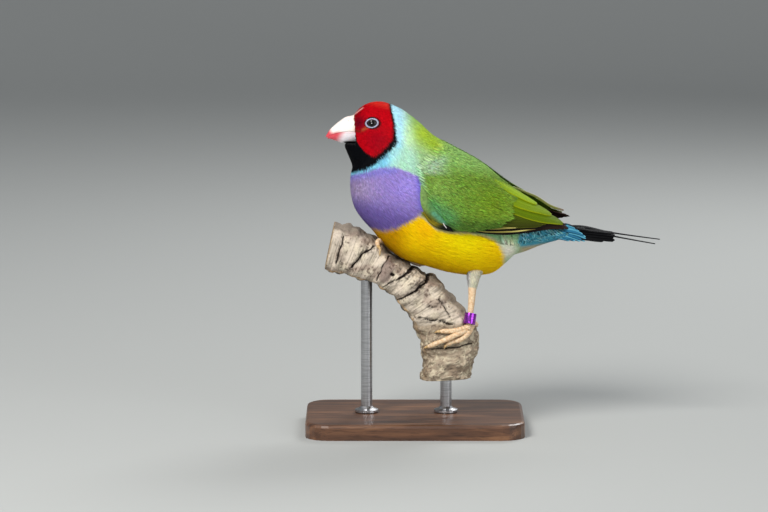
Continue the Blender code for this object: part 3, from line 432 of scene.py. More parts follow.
def stops(tree, value, colours):
    """A colour ramp through (position, colour) stops."""
    node = add_node(tree, "ShaderNodeValToRGB", {0: value})
    while len(node.color_ramp.elements) < len(colours):
        node.color_ramp.elements.new(0.5)
    for element, (position, colour) in zip(node.color_ramp.elements, colours):
        element.position = position
        element.color = (*colour, 1.0)
    return node.outputs["Color"]


def multiply(tree, base, other, factor=1.0):
    inputs = {0: factor, 6: base, 7: other}
    return add_node(tree, "ShaderNodeMix", inputs, data_type="RGBA", blend_type="MULTIPLY").outputs[2]


def tint_of(tree):
    return add_node(tree, "ShaderNodeAttribute", attribute_name="plumage").outputs["Color"]


def pattern(tree, scale, kind="Noise", **values):
    """Noise or cells in the object's own space. Three scales stretch the grain along an axis."""
    place = add_node(tree, "ShaderNodeTexCoord").outputs["Object"]
    if isinstance(scale, tuple):
        place = add_node(tree, "ShaderNodeMapping", {"Vector": place, "Scale": scale}).outputs[0]
        scale = 1.0
    return add_node(tree, f"ShaderNodeTex{kind}", {"Vector": place, "Scale": scale, **values}).outputs[0]


def add_bump(tree, shader, height, strength, distance_mm):
    values = {"Strength": strength, "Distance": distance_mm * MM, "Height": height}
    tree.links.new(add_node(tree, "ShaderNodeBump", values).outputs[0], shader.inputs["Normal"])

# %% Finishes with a grain
PIT_SHARE = 0.7


def grained(started, grain, tones, bump, tinted=False, pits=None, bumped=None):
    """Adds tones that follow a grain to a new finish, times the mesh's own colour if tinted. pits is
    a second pattern with tones of its own. The bump follows bumped, or else the grain."""
    finish, tree, shader = started
    height = pattern(tree, **grain)
    colour = stops(tree, height, tones)
    if tinted:
        colour = multiply(tree, tint_of(tree), colour)
    if pits:
        hole = pattern(tree, **pits[0])
        colour = multiply(tree, colour, stops(tree, hole, pits[1]), PIT_SHARE)
        height = hole if bumped == "pits" else height
    elif bumped:
        height = pattern(tree, **bumped)
    tree.links.new(colour, shader.inputs["Base Color"])
    add_bump(tree, shader, height, *bump)
    return finish

# %% The feather finish
def feather_finish(name, barbs, slant, contrast, specular, roughness=0.62):
    """barbs is how many lie along one feather, and slant how far they run back from the shaft."""
    finish, tree, shader = new_finish(name, roughness, specular)
    vane = add_node(tree, "ShaderNodeUVMap", uv_map="Vane").outputs["UV"]
    split = add_node(tree, "ShaderNodeSeparateXYZ", {0: vane})
    out = sum_of(tree, "ABSOLUTE", sum_of(tree, "SUBTRACT", split.outputs["X"], 0.5))
    along_vane = sum_of(tree, "MULTIPLY", split.outputs["Y"], barbs)
    run = sum_of(tree, "SUBTRACT", along_vane, sum_of(tree, "MULTIPLY", out, slant))
    barb = sum_of(tree, "SINE", sum_of(tree, "MULTIPLY", run, 2 * math.pi))
    shade = sum_of(tree, "MULTIPLY_ADD", barb, contrast / 2, 1.0 - contrast / 2)
    grey = add_node(tree, "ShaderNodeCombineColor", {0: shade, 1: shade, 2: shade}).outputs[0]
    tree.links.new(multiply(tree, tint_of(tree), grey), shader.inputs["Base Color"])
    add_bump(tree, shader, barb, 0.35, 0.05)
    return finish


COAT_FINISH = feather_finish("small_feathers", 22.0, 5.0, 0.14, 0.05)
HEAD_FINISH = feather_finish("head_feathers", 7.0, 3.0, 0.12, 0.03)
FLIGHT_FINISH = feather_finish("flight_feathers", 110.0, 26.0, 0.34, 0.08)
TAIL_FINISH = feather_finish("tail_feathers", 120.0, 22.0, 0.3, 0.08)
print("feather finishes", 4)

# %% [markdown]
# Sheets draped on forms
# Skin, bill, toes and log are all a sheet wrapped round a form. A bmesh grid is the sheet: its
# points are moved to where the form is, its two long edges are merged, and its ends are closed.

# %% Drape a grid and finish a piece
def drape(name, columns, rows, where, closed=True, ends=True):
    """where(u, v) gives millimetres for u round the form and v along it, both from 0 to 1."""
    work = bmesh.new()
    bmesh.ops.create_grid(work, x_segments=columns, y_segments=rows, size=0.5)
    flat = np.array([v.co[:2] for v in work.verts]) + 0.5
    wrap = work.loops.layers.uv.new("OFBake")
    for face in work.faces:
        for loop in face.loops:
            loop[wrap].uv = flat[loop.vert.index]
    spots = where(flat[:, 0], flat[:, 1]) * MM
    for vertex, spot in zip(work.verts, spots.tolist()):
        vertex.co = spot
    if closed:
        bmesh.ops.remove_doubles(work, verts=work.verts, dist=1e-6)
    if ends:
        bmesh.ops.holes_fill(work, edges=[e for e in work.edges if e.is_boundary], sides=0)
    bmesh.ops.recalc_face_normals(work, faces=work.faces)
    return from_work(name, work)


def from_work(name, work):
    mesh = bpy.data.meshes.new(name)
    work.to_mesh(mesh)
    work.free()
    return link(name, mesh)


def link(name, mesh):
    thing = bpy.data.objects.new(name, mesh)
    bpy.context.scene.collection.objects.link(thing)
    mesh.shade_smooth()
    return thing


def spots_of(thing):
    spots = np.empty(len(thing.data.vertices) * 3, np.float32)
    thing.data.vertices.foreach_get("co", spots)
    return spots.reshape(-1, 3).astype(float) / MM


def paint(thing, colours):
    layer = thing.data.attributes.new("plumage", "FLOAT_COLOR", "POINT")
    full = np.ones((len(thing.data.vertices), 4), np.float32)
    full[:, :3] = colours
    layer.data.foreach_set("color", full.ravel())


def finished(thing, finish, slot, *nodes):
    thing.data.materials.clear()
    thing.data.materials.append(finish)
    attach(thing, "root")
    if nodes:
        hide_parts(*nodes)
    print(thing.name, len(thing.data.polygons), "faces")
    return thing

# %% [markdown]
# The skin
# Under the feathers is one smooth skin from the bill to the tail's root, a little inside the
# solid body. It wears the same markings, so that no gap between feathers shows a wrong colour.

# %% Skin
SKIN_DEPTH = 0.75
SKIN_LAYERS = 24.0
# The skin wears the plumage's colours made darker, as painted shade in the gaps under the feathers
PAINTED_SHADE_UNDER_FEATHERS = 0.8
# The feathered face ends at this line in the side view, where the bill's bare base begins
FACE_LINE = np.array([(-24.1, 122.6), (-23.9, 121.2), (-23.4, 116.4), (-22.9, 110.8)])


def ahead_of_face(spots):
    """How far a point lies ahead of the face's line, in millimetres. Below the bill nothing does."""
    line = np.interp(spots[..., 2], FACE_LINE[::-1, 1], FACE_LINE[::-1, 0])
    return np.where(spots[..., 2] > FACE_LINE[-1, 1], line - spots[..., 0], -1.0)


def skin_spot(u, v):
    spots = BODY.at(v * BODY_END, u * 360.0 - 90.0, -SKIN_DEPTH)
    spots[:, 0] += np.maximum(ahead_of_face(spots) + 0.5, 0.0) * ramp(spots[:, 2], 110.2, 111.0)[:, 0]
    return spots


skin = drape("skin", 120, 220, skin_spot)
paint(skin, plumage(spots_of(skin)) * PAINTED_SHADE_UNDER_FEATHERS)
SKIN_FINISH = grained(
    new_finish("skin_under_feathers", 0.8, 0.2), {"scale": 1500.0, "Detail": 3.0},
    [(0.3, (0.6, 0.6, 0.6)), (0.7, (1.0, 1.0, 1.0))], (0.5, 0.2), tinted=True,
)
finished(skin, SKIN_FINISH, "breast_violet", "head", "neck", "torso", "rump")

# %% [markdown]
# One small feather
# A body feather is a thin, slightly cupped vane whose outer third is loose, hair-like barbs. It
# starts as a bmesh grid. The grid's last row is split along its columns, and each strip is drawn
# to a point. Thousands of copies then lie on the body like tiles, each a little different.

# %% A frayed vane
def arrays_from_work(work):
    """The points and triangles of a bmesh, which is then freed."""
    work.verts.ensure_lookup_table()
    work.verts.index_update()
    spots = np.array([v.co[:] for v in work.verts])
    faces = np.array([[v.index for v in f.verts] for f in work.faces])
    work.free()
    return spots, faces


def frayed_vane(columns, rows, root_width=0.45):
    """Template of a small feather: across -1 to 1, along 0 to 1, its triangles and its tips."""
    work = bmesh.new()
    bmesh.ops.create_grid(work, x_segments=columns, y_segments=rows, size=1.0)
    last_row, near = 1.0 - 2.0 / rows, 1e-4
    upright = [
        e for e in work.edges
        if len(e.link_faces) == 2 and abs(e.verts[0].co.x - e.verts[1].co.x) < near
        and min(v.co.y for v in e.verts) > last_row - near
    ]
    bmesh.ops.split_edges(work, edges=upright)
    for face in [f for f in work.faces if f.calc_center_median().y > last_row]:
        tips = [v for v in face.verts if v.co.y > 1 - near]
        bmesh.ops.pointmerge(work, verts=tips, merge_co=sum((v.co for v in tips), Vector()) / len(tips))
    bmesh.ops.triangulate(work, faces=work.faces)
    spots, faces = arrays_from_work(work)
    across, forward = spots[:, 0], (spots[:, 1] + 1) / 2
    is_tip = forward > 1 - near
    width = root_width + (1 - root_width) * np.minimum(forward / 0.5, 1.0)
    width = width * (1 - 0.25 * np.maximum(forward - 0.6, 0) / 0.4)
    forward = forward - 0.16 * across**2 * is_tip
    return {"across": across * width, "side": across, "forward": forward, "tip": is_tip, "faces": faces}


BODY_VANE = frayed_vane(6, 3)
HEAD_VANE = frayed_vane(4, 3)
print("vane", len(BODY_VANE["faces"]), "faces, head vane", len(HEAD_VANE["faces"]))

# %% Meshes from arrays
def mesh_from_arrays(name, spots, faces, colours, bake, vane):
    """One joined mesh: every array has one row for each point, apart from the faces."""
    mesh = bpy.data.meshes.new(name)
    mesh.vertices.add(len(spots))
    mesh.vertices.foreach_set("co", (spots * MM).astype(np.float32).ravel())
    corners = faces.astype(np.int32).ravel()
    mesh.loops.add(len(corners))
    mesh.loops.foreach_set("vertex_index", corners)
    mesh.polygons.add(len(faces))
    mesh.polygons.foreach_set("loop_start", np.arange(len(faces), dtype=np.int32) * faces.shape[1])
    for layer, flat in (("OFBake", bake), ("Vane", vane)):
        mesh.uv_layers.new(name=layer).data.foreach_set("uv", flat[corners].astype(np.float32).ravel())
    mesh.update(calc_edges=True)
    mesh.validate()
    thing = link(name, mesh)
    paint(thing, colours)
    return thing

# %% Spread roots over a form
def spread_roots(form, places, spacing, angles=(-90.0, 270.0)):
    """Roots about spacing apart all over a stretch of a form, as (place, angle) rows."""
    roots = []
    place = places[0]
    while place < places[1]:
        turns = np.linspace(*angles, 181)
        ahead, around = form.steps(np.full(turns.shape, place), turns)
        ahead, around = np.linalg.norm(ahead, axis=1), np.linalg.norm(around, axis=1)
        step = spacing / ahead.max()
        density = ahead * around * step / spacing**2 * (turns[1] - turns[0])
        reach = np.concatenate([[0.0], np.cumsum((density[1:] + density[:-1]) / 2)])
        count = max(int(reach[-1]), 1)
        shares = (np.arange(count) + rng.uniform(0.0, 1.0, count)) / count * reach[-1]
        turn = np.interp(shares, reach, turns)
        roots.append(np.stack([place + rng.uniform(-0.5, 0.5, count) * step, turn], -1))
        place += step
    made = np.concatenate(roots)
    return made[(made[:, 0] > places[0]) & (made[:, 0] < places[1])]

# %% Lay small feathers on a form
PATCH = 0.003
STREAK = 0.08
STRANDS = 9
MIRROR = np.array([1.0, -1.0, 1.0])


def reflected(spots, faces):
    return spots * MIRROR, faces[..., ::-1]


def lay_feathers(name, form, vane, roots, length, width, lifts, finish, slot, keep=None, colour=None,
                 lean=0.0, streak=STREAK, mirror=False, mottle=0.03, fray=0.16, uneven=0.05, root_shade=0.84):
    """Lays copies of a vane with their roots on a form and their tips toward its far end. length,
    width and lean may be arrays, one value for each root. mirror makes it part of the far wing."""
    count, points = len(roots), len(vane["across"])
    length = np.broadcast_to(length, count) * rng.uniform(0.88, 1.12, count)
    width = np.broadcast_to(width, count) * rng.uniform(0.85, 1.15, count)
    heading = np.radians(np.broadcast_to(lean, count) + rng.normal(0.0, 3.0, count))
    go, cross_over = np.cos(heading), np.sin(heading)
    ahead, around = form.steps(roots[:, 0], roots[:, 1])
    ahead, around = np.linalg.norm(ahead, axis=1), np.linalg.norm(around, axis=1)
    forward = vane["forward"][None] + vane["tip"][None] * rng.uniform(-0.12, 0.06, (count, points))
    run = forward * length[:, None]
    cross = vane["across"][None] * width[:, None] / 2
    place = roots[:, :1] + (run * go[:, None] - cross * cross_over[:, None]) / ahead[:, None]
    angle = roots[:, 1:] + (run * cross_over[:, None] + cross * go[:, None]) / around[:, None]
    low, high = lifts
    lift = low + (high - low) * forward**1.3 - 0.07 * width[:, None] * vane["side"][None] ** 2
    lift += rng.uniform(-0.04, 0.04, (count, 1))
    spots = form.at(place, angle, lift)
    if keep is not None:
        reach = 0.8 * length
        tips = form.at(roots[:, 0] + reach * go / ahead, roots[:, 1] + reach * cross_over / around, 0.3)
        chosen = keep(roots, tips)
        spots, forward, roots = spots[chosen], forward[chosen], roots[chosen]
        count = len(spots)
    strand = np.round((vane["side"] + 1) / 2 * (STRANDS - 1)).astype(int)
    shade = (colour or plumage)(spots, rng.normal(0.0, fray, (count, STRANDS))[:, strand])
    # Random streaks along each strand, with painted shade darkening each vane toward its edges
    streaks_and_edge_shade = 1 + rng.normal(0.0, streak, (count, STRANDS))[:, strand] - 0.16 * vane["side"][None] ** 2
    # Painted shade: each feather is darker toward its root, where the feather before it covers it, and a little
    # lighter at its tip
    depth = root_shade + (1.06 - root_shade) * np.clip(forward, 0, 1) ** 1.5
    depth = depth * rng.normal(1.0, uneven, (count, 1))
    tint = rng.normal(1.0, mottle, (count, 1, 3))
    colours = np.clip(shade * (streaks_and_edge_shade * depth)[..., None] * tint, 0, 1)
    faces = vane["faces"][None] + (np.arange(count) * points)[:, None, None]
    if mirror:
        spots, faces = reflected(raise_wing(spots), faces)
    centre = np.stack([(roots[:, 1] / 360.0) % 1.0, roots[:, 0] / SKIN_LAYERS], -1)[:, None]
    patch_of = np.stack([vane["side"] * PATCH / 2, (vane["forward"] - 0.5) * PATCH], -1)[None]
    own = np.stack([(vane["side"] + 1) / 2, vane["forward"]], -1)[None]
    bake = np.clip(centre + patch_of, 0, 1).reshape(-1, 2)
    own = np.broadcast_to(own, (count, points, 2)).reshape(-1, 2)
    flat_faces, flat_colours = faces.reshape(-1, 3), colours.reshape(-1, 3)
    made = mesh_from_arrays(name, spots.reshape(-1, 3), flat_faces, flat_colours, bake, own)
    return finished(made, finish, slot)

# %% [markdown]
# Feathers of the head
# The mask and throat are velvet: feathers 2 mm long, packed like scales. They stop at the lid and
# at the bill's edge, where the real ones are shortest.

# %% Head feathers
EYE_CENTRE = (-16.2, 6.75, 119.0)
EYE_RADIUS = 2.6
LID_LENGTH, LID_HEIGHT = 2.3, 1.6
LID_ROOM = 0.35


def off_the_eye(roots, tips, room=1.12):
    at_root = BODY.bare(roots[:, 0], roots[:, 1])

    def clear(spots):
        across = (spots[:, 0] - EYE_CENTRE[0]) / (LID_LENGTH + LID_ROOM)
        up = (spots[:, 2] - EYE_CENTRE[2]) / (LID_HEIGHT + LID_ROOM)
        return np.hypot(across, up) > room

    feathered = (ahead_of_face(at_root) < -0.1) & (ahead_of_face(tips) < 0)
    return feathered & clear(at_root) & clear(tips) & clear((at_root + tips) / 2)


head_roots = spread_roots(BODY, (0.06, 4.6), 0.46)
grown = np.clip(head_roots[:, 0] / 1.5, 0, 1)
head_length, head_width = 1.2 + 1.0 * grown, 0.55 + 0.2 * grown
lay_feathers("coat_head", BODY, HEAD_VANE, head_roots, head_length, head_width, (-0.12, 0.08),
             HEAD_FINISH, "red_mask", keep=off_the_eye, streak=0.07, fray=0.06)

# %% [markdown]
# Feathers of the neck, breast, belly and back
# These are longer and softer. They lie back along the body, and where the wing covers the flank
# only a few rows under its edge are needed.

# %% Body feathers
HIDDEN_PLACES, HIDDEN_ANGLES = (9.9, 15.5), (2, 62)


def between(value, low, high):
    return (value > low) & (value < high)


def not_under_wing(roots, tips):
    place, angle = roots.T
    angle = np.where(angle > 90, 180 - angle, angle)
    return ~(between(place, *HIDDEN_PLACES) & between(angle, *HIDDEN_ANGLES))


# Satin coats have little painted shade at the feathers' roots
SATIN = {"uneven": 0.025, "root_shade": 0.96, "mottle": 0.015, "streak": 0.06}
GRASSY = {"mottle": 0.06, "uneven": 0.09, "streak": 0.19}
SOFT = {"uneven": 0.07, "streak": 0.12}
ALL_ROUND = (-90.0, 270.0)
# The vane, spacing, length and width of a coat's feathers, their lift at root and tip, and the slot
NECK = (BODY_VANE, 0.68, 3.4, 1.1, (-0.16, 0.16), "collar_aqua")
BREAST_COAT = (BODY_VANE, 0.7, 4.4, 0.9, (-0.18, 0.22), "breast_violet")
BELLY_COAT = (BODY_VANE, 0.85, 5.4, 1.15, (-0.18, 0.22), "breast_violet")
BACK_COAT = (HEAD_VANE, 0.62, 3.6, 0.72, (-0.18, 0.2), "wing_green")
VENT_COAT = (BODY_VANE, 0.85, 5.2, 1.2, (-0.2, 0.25), "rump_blue")
# Each coat's name, stretch of the body and angles round it, and what its feathers are like
COATS = [
    ("coat_neck", (3.9, 6.4), ALL_ROUND, NECK, SOFT),
    ("coat_breast", (5.6, 9.6), ALL_ROUND, BREAST_COAT, {"streak": 0.1}),
    ("coat_belly", (9.3, 15.9), (-90.0, 10.0), BELLY_COAT, SATIN),
    ("coat_belly_far", (9.3, 15.9), (170.0, 270.0), BELLY_COAT, SATIN),
    ("coat_back", (9.3, 15.2), (55.0, 125.0), BACK_COAT, GRASSY),
    ("coat_vent", (15.0, 19.2), (-90.0, 20.0), VENT_COAT, {"keep": None}),
    ("coat_vent_far", (15.0, 19.2), (160.0, 270.0), VENT_COAT, {"keep": None}),
]
for name, places, angles, (vane, spacing, length, width, lifts, slot), more in COATS:
    roots = spread_roots(BODY, places, spacing, angles)
    more = {"keep": not_under_wing, **more}
    lay_feathers(name, BODY, vane, roots, length, width, lifts, COAT_FINISH, slot, **more)

# %% [markdown]
# Flight feathers
# Quill feathers are stiff vanes with a shaft, longer than the wing is deep, and they overlap like a
# closed fan. A template grid with a top and an underside is bent along each feather's own line.

# %% The quill template
def quill_template(columns=10, rows=26, thickness=0.14):
    work = bmesh.new()
    bmesh.ops.create_grid(work, x_segments=columns, y_segments=rows, size=1.0)
    bmesh.ops.solidify(work, geom=list(work.faces), thickness=thickness)
    bmesh.ops.recalc_face_normals(work, faces=work.faces)
    bmesh.ops.triangulate(work, faces=work.faces)
    spots, faces = arrays_from_work(work)
    side, forward = np.clip(spots[:, 0], -1, 1), np.clip((spots[:, 1] + 1) / 2, 0, 1)
    side = np.sign(side) * np.abs(side) ** 1.25
    return side, forward, spots[:, 2] - spots[:, 2].mean(), faces


SIDE, FORWARD, LEVEL, QUILL_FACES = quill_template()
OWN_VANE = np.stack([(SIDE + 1) / 2, FORWARD], -1)
QUILL_STEP = 0.02
BLUNT_FROM = 0.965


def quill(line, outs, widths, colour, tip=0.3, camber=0.22, notch=0.05, spare=0.0, taper=4.0):
    """One large feather. line and outs are rows along it, widths its two sides in millimetres."""
    last = len(line) - 1
    centre, outward = along(line, FORWARD * last), unit(along(outs, FORWARD * last))
    ahead = direction(line, FORWARD * last, QUILL_STEP * last)
    across = unit(np.cross(ahead, outward))
    spread = (0.5 + 0.5 * np.minimum(FORWARD / 0.4, 1.0)) * np.sqrt(1 - (1 - tip**2) * FORWARD**taper)
    edge_places = [Vector((f * 23.0, np.sign(s) * 5.0, spare)) for f, s in zip(FORWARD, SIDE)]
    ragged = 1 + notch * np.array([noise.noise(place) for place in edge_places])
    corner = 1 - np.sqrt(np.clip(1 - SIDE**2, 0, 1))
    blunt = 0.5 * corner * np.clip((FORWARD - BLUNT_FROM) / (1 - BLUNT_FROM), 0, 1)
    reach = np.where(SIDE < 0, widths[0], widths[1]) * SIDE * spread * ragged
    shaft = 0.10 * np.exp(-((SIDE / 0.09) ** 2)) * (1 - 0.7 * FORWARD)
    lift = LEVEL - camber * SIDE**2 + shaft
    slip = -blunt * np.linalg.norm(line[-1] - line[0]) * 0.06
    spots = centre + across * reach[:, None] + outward * lift[:, None] + ahead * slip[:, None]
    pale = np.exp(-((SIDE / 0.07) ** 2))[:, None] * 0.35
    return spots, np.clip(colour() * (1 + 0.7 * pale), 0, 1)


def quill_mesh(name, quills, finish, slot, node=None, mirror=False):
    """Joins quills into one piece, each with its own cell of the bake map."""
    quills = list(quills)
    spots, colours = (np.concatenate(each) for each in zip(*quills))
    numbers = np.arange(len(quills))
    columns = math.ceil(math.sqrt(len(quills)))
    faces = np.concatenate([QUILL_FACES + number * len(SIDE) for number in numbers])
    corners = np.stack([numbers % columns, numbers // columns], -1)[:, None]
    bake = ((corners + 0.05 + OWN_VANE * 0.9) / columns).reshape(-1, 2)
    if mirror:
        spots, faces = reflected(raise_wing(spots), faces)
    made = mesh_from_arrays(name, spots, faces, colours, bake, np.tile(OWN_VANE, (len(quills), 1)))
    return finished(made, finish, slot, *([node] if node else []))

# %% Colours across a quill
def plain_vane(base, edge=None, edge_width=0.2, tip=None, tip_length=0.08, root=None):
    """A vane of one colour, with an edge, a tip and a root of others."""
    def colour():
        layers = []
        if root:
            layers.append((root, 1.0, ramp(-FORWARD, -0.75, -0.45)))
        if edge:
            layers.append((edge, 1.0, ramp(SIDE, 1 - edge_width * 1.5, 1 - edge_width)))
        if tip:
            layers.append((tip, 1.0, ramp(FORWARD, 1 - tip_length, 1 - tip_length * 0.4)))
        return layered(base, SIDE[:, None], layers)

    return colour


DARK = plain_vane((22, 17, 16), (40, 32, 26), 0.15, (54, 38, 30), 0.25)
OLIVE_EDGED = plain_vane((62, 66, 28), (108, 106, 34), 0.3, (18, 18, 14), 0.5, root=(128, 114, 20))
PALE_LINE = plain_vane((214, 202, 118), tip=(110, 92, 48), tip_length=0.25, root=(150, 140, 70))
WHITE_LINE = plain_vane((226, 222, 218))
# Painted highlight: the far wing's edge is olive with a pale rim where it catches the light
FAR_OLIVE = plain_vane((112, 116, 54), (176, 176, 140), 0.35, (126, 112, 96), 0.3)

# %% [markdown]
# The folded wings
# From the bottom up the folded wing shows the black primaries, the olive secondaries, and three
# lime tertials like roof tiles, and over their roots the green coverts. The far wing is the same
# wing mirrored, carried a little higher.

# %% Paths of the wing's feathers
# A path is rows of place and angle on the wings' surface. Lifts are those of its root and tip
PRIMARY_TIPS = (16.9, 17.5, 18.0, 18.4, 18.6, 18.4, 18.0)
FAR_EDGE, FAR_EDGE_LIFTS = [(12.9, 80), (14.2, 83), (15.4, 82), (16.6, 78), (17.5, 72)], [-0.9, 0.45, 0.45]
# Path, half widths, lifts and colour
TERTIALS = [
    ([(11.5, 38), (14.4, 44), (15.9, 49), (17.35, 62)], (3.3, 2.2), (-0.35, 0.0), (96, 120, 6)),
    ([(11.5, 52), (13.8, 58), (16.0, 72)], (3.0, 3.0), (-0.2, 0.2), (120, 146, 8)),
    ([(11.5, 66), (13.0, 70), (14.6, 75)], (2.4, 2.8), (0.0, 0.45), (146, 176, 22)),
]
# Path and half width of the pale edges that show between the secondaries
PALE_LINES = [
    ([(12.5, 6), (13.15, 10), (14.1, 18.5), (15.6, 27)], 0.34),
    ([(12.5, 1.5), (13.1, 5), (13.8, 10), (14.6, 14.2), (15.4, 17.6)], 0.3),
]
ALULA = [
    [(9.8, -8), (10.4, -11), (11.0, -10.5), (11.7, -8)],
    [(9.9, -6), (10.5, -8.5), (11.0, -8.5), (11.6, -7)],
    [(10.1, -3.5), (10.6, -6), (11.1, -6.5), (11.5, -6)],
]
STATIONS = 14
FAR_WING_RAISE, FAR_TIP_RAISE = 1.2, 3.0


def raise_wing(spots):
    """Carries the rear of the far wing, and above all its tip, higher than that of the near one."""
    up = FAR_WING_RAISE * ramp(spots[..., 0], 32.0, 50.0) + FAR_TIP_RAISE * ramp(spots[..., 0], 50.0, 61.0)
    return spots + np.array([0.0, 0.0, 1.0]) * up


def stations(path):
    return np.moveaxis(along(path, np.linspace(0, 1, STATIONS) * (len(path) - 1)), -1, 0)


def on_coat(path, lifts, colour, widths, **more):
    places, angles = stations(path)
    lift = lifts[0] + (lifts[1] - lifts[0]) * np.linspace(0, 1, STATIONS)
    return quill(WING_COAT.at(places, angles, lift), WING_COAT.outward(places, angles), widths, colour, **more)

# %% Lay the quills of a wing
def wing_quills():
    """Primaries, secondaries, tertials, the pale lines, the alula and a white fleck at its root."""
    for k, tip_place in enumerate(PRIMARY_TIPS):
        path = [(11.5, -5 + 2.2 * k), (13.0, 4.5 + 2.8 * k), (14.2, 12 + 4.2 * k), (15.4, 17.5 + 6.5 * k),
                (tip_place, 29 + 8.5 * k)]
        yield on_coat(path, (-1.7 + 0.2 * k, -1.6 + 0.16 * k), DARK, (1.2, 1.25), spare=k)
    for k in range(5):
        shade = tuple(round(low + (high - low) * k / 4) for low, high in ((60, 80), (66, 98), (12, 8)))
        path = [(11.4, 14 + 6.0 * k), (13.6, 20.5 + 5.6 * k), (15.7 + 0.3 * k, 30 + 6.6 * k)]
        colour = plain_vane(shade, (112, 116, 30), 0.1, (120, 120, 50), 0.03)
        yield on_coat(path, (-0.68 + 0.07 * k, -0.55 + 0.07 * k), colour, (2.2, 1.3), spare=10 + k)
    for k, (path, widths, lifts, shade) in enumerate(TERTIALS):
        colour = plain_vane(shade, (164, 174, 16), 0.16, (184, 192, 84), 0.03)
        yield on_coat(path, lifts, colour, widths, tip=0.42, spare=20 + k)
    for path, half in PALE_LINES:
        yield on_coat(path, (-0.7, -0.75), PALE_LINE, (half, half), camber=0.05, notch=0.2)
    for k, path in enumerate(ALULA):
        yield on_coat(path, (-1.5, -0.4 - 0.05 * k), OLIVE_EDGED, (0.55, 0.6), spare=40 + k)
    fleck = [(10.95, -4.5), (11.1, -6), (11.3, -7.6)]
    yield on_coat(fleck, (0.05, 0.05), WHITE_LINE, (0.2, 0.15), camber=0.0)


def far_edge_quill():
    """The far wing also shows the upper edge of its longest feathers, olive with a pale rim painted as a
    highlight.
    """
    lift = np.interp(np.linspace(0, 1, STATIONS), [0, 0.3, 1], FAR_EDGE_LIFTS)
    line = WING_COAT.at(*stations(FAR_EDGE), lift)
    outs = np.tile([0.0, 1.0, 0.25], (STATIONS, 1))
    return quill(line, outs, (0.5, 0.5), FAR_OLIVE, camber=0.0, spare=75)


quill_mesh("wing_left_quills", wing_quills(), FLIGHT_FINISH, "wing_green", "wing_left")
far_quills = [*wing_quills(), far_edge_quill()]
quill_mesh("wing_right_quills", far_quills, FLIGHT_FINISH, "wing_green", "wing_right", mirror=True)

# %% The wing's covert mass
# Place, lowest and highest angle
WING_PATCH = [(8.6, 10, 40), (9.2, -1, 52), (9.8, -7, 62), (10.6, -9, 70), (11.5, -7, 75), (12.3, -2, 77),
              (12.9, 4, 74)]
WINGS = (("left", False), ("right", True))


def wing_patch_spot(mirrored):
    """A cushion of flesh under the coverts: the upper half of u is its top, the lower its bottom."""
    def where(u, v):
        place, low, high = np.moveaxis(along(WING_PATCH, v * (len(WING_PATCH) - 1)), -1, 0)
        turn = u * 2 * np.pi
        share = (1 - np.cos(turn)) / 2
        rise = -1.6 + 1.1 * np.sign(np.sin(turn)) * np.abs(np.sin(turn)) ** 0.4
        spots = WING_COAT.at(place, low + (high - low) * share, rise)
        return raise_wing(spots) * MIRROR if mirrored else spots

    return where


for side_name, mirrored in WINGS:
    flesh = drape(f"wing_{side_name}_flesh", 64, 40, wing_patch_spot(mirrored))
    # The flesh wears the wing's colours made darker, as painted shade under the coverts
    paint(flesh, wing_colour(spots_of(flesh)) * PAINTED_SHADE_UNDER_FEATHERS)
    finished(flesh, SKIN_FINISH, "wing_green")

# %% Coverts
# The coverts' hem and their lower edge, by place and angle
HEM_ANGLES = (-8, -1, 6, 14, 31, 49, 62, 74, 80)
HEM_PLACES = (11.6, 12.6, 13.05, 13.6, 13.9, 13.4, 13.45, 13.5, 13.5)
LOW_PLACES, LOW_ANGLES = (7.6, 8.6, 9.3, 10.2, 11.0, 11.5, 13.0), (22, 11, 6, 1.5, -2.5, -6, -6)


def wing_covert_roots():
    roots = spread_roots(WING_COAT, (7.5, 13.8), 0.55, (-9.0, 80.0))
    low = np.interp(roots[:, 0], LOW_PLACES, LOW_ANGLES)
    hem = np.interp(roots[:, 1], HEM_ANGLES, HEM_PLACES)
    return roots[(roots[:, 1] > low) & (roots[:, 0] < hem - 0.5)]


for side_name, mirrored in WINGS:
    name, roots = f"wing_{side_name}_coverts", wing_covert_roots()
    lay_feathers(name, WING_COAT, HEAD_VANE, roots, 3.2, 0.68, (-0.3, 0.35), COAT_FINISH, "wing_green",
                 mirror=mirrored, colour=wing_colour, streak=0.28, mottle=0.07, uneven=0.12)

# %% [markdown]
# Rump and tail
# Long blue coverts droop over the sides of the tail's root, each with a pale shaft. The tail is
# twelve black feathers, stacked like a closed fan, and the middle pair runs out into fine wires.

# %% Blue upper tail coverts
def rump_colour(spots, edge=0.0):
    """As the plumage, with a pale shaft on some of the feathers."""
    made = plumage(spots, edge)
    pale = (rng.uniform(0, 1, (len(spots), 1)) > 0.5) * np.exp(-((BODY_VANE["side"] / 0.3) ** 2))[None]
    dark = (rng.uniform(0, 1, (len(spots), 1)) > 0.62) * 0.7
    behind = ramp(spots[..., 0], 38.5, 41.0)[..., 0]
    made = made * (1 - dark * behind)[..., None]
    return made + (linear(164, 230, 230) - made) * 0.95 * (pale * behind)[..., None]


rump_roots = spread_roots(BODY, (13.6, 19.8), 0.95, (12.0, 168.0))
rump_place, off_middle = rump_roots[:, 0], rump_roots[:, 1] - 90
outward_lean = np.where(off_middle < 0, -1.0, 1.0) * 40.0 * np.clip(np.abs(off_middle) / 30, 0, 1)
rump_lean = outward_lean * np.clip(20.4 - rump_place, 0, 1)
rump_length = 5.0 + 3.0 * np.clip((rump_place - 18.0) / 1.5, 0, 1)
lay_feathers("coat_rump", BODY, BODY_VANE, rump_roots, rump_length, 0.95, (-0.3, 0.4), COAT_FINISH, "rump_blue",
             colour=rump_colour, lean=rump_lean, streak=0.14, mottle=0.06)

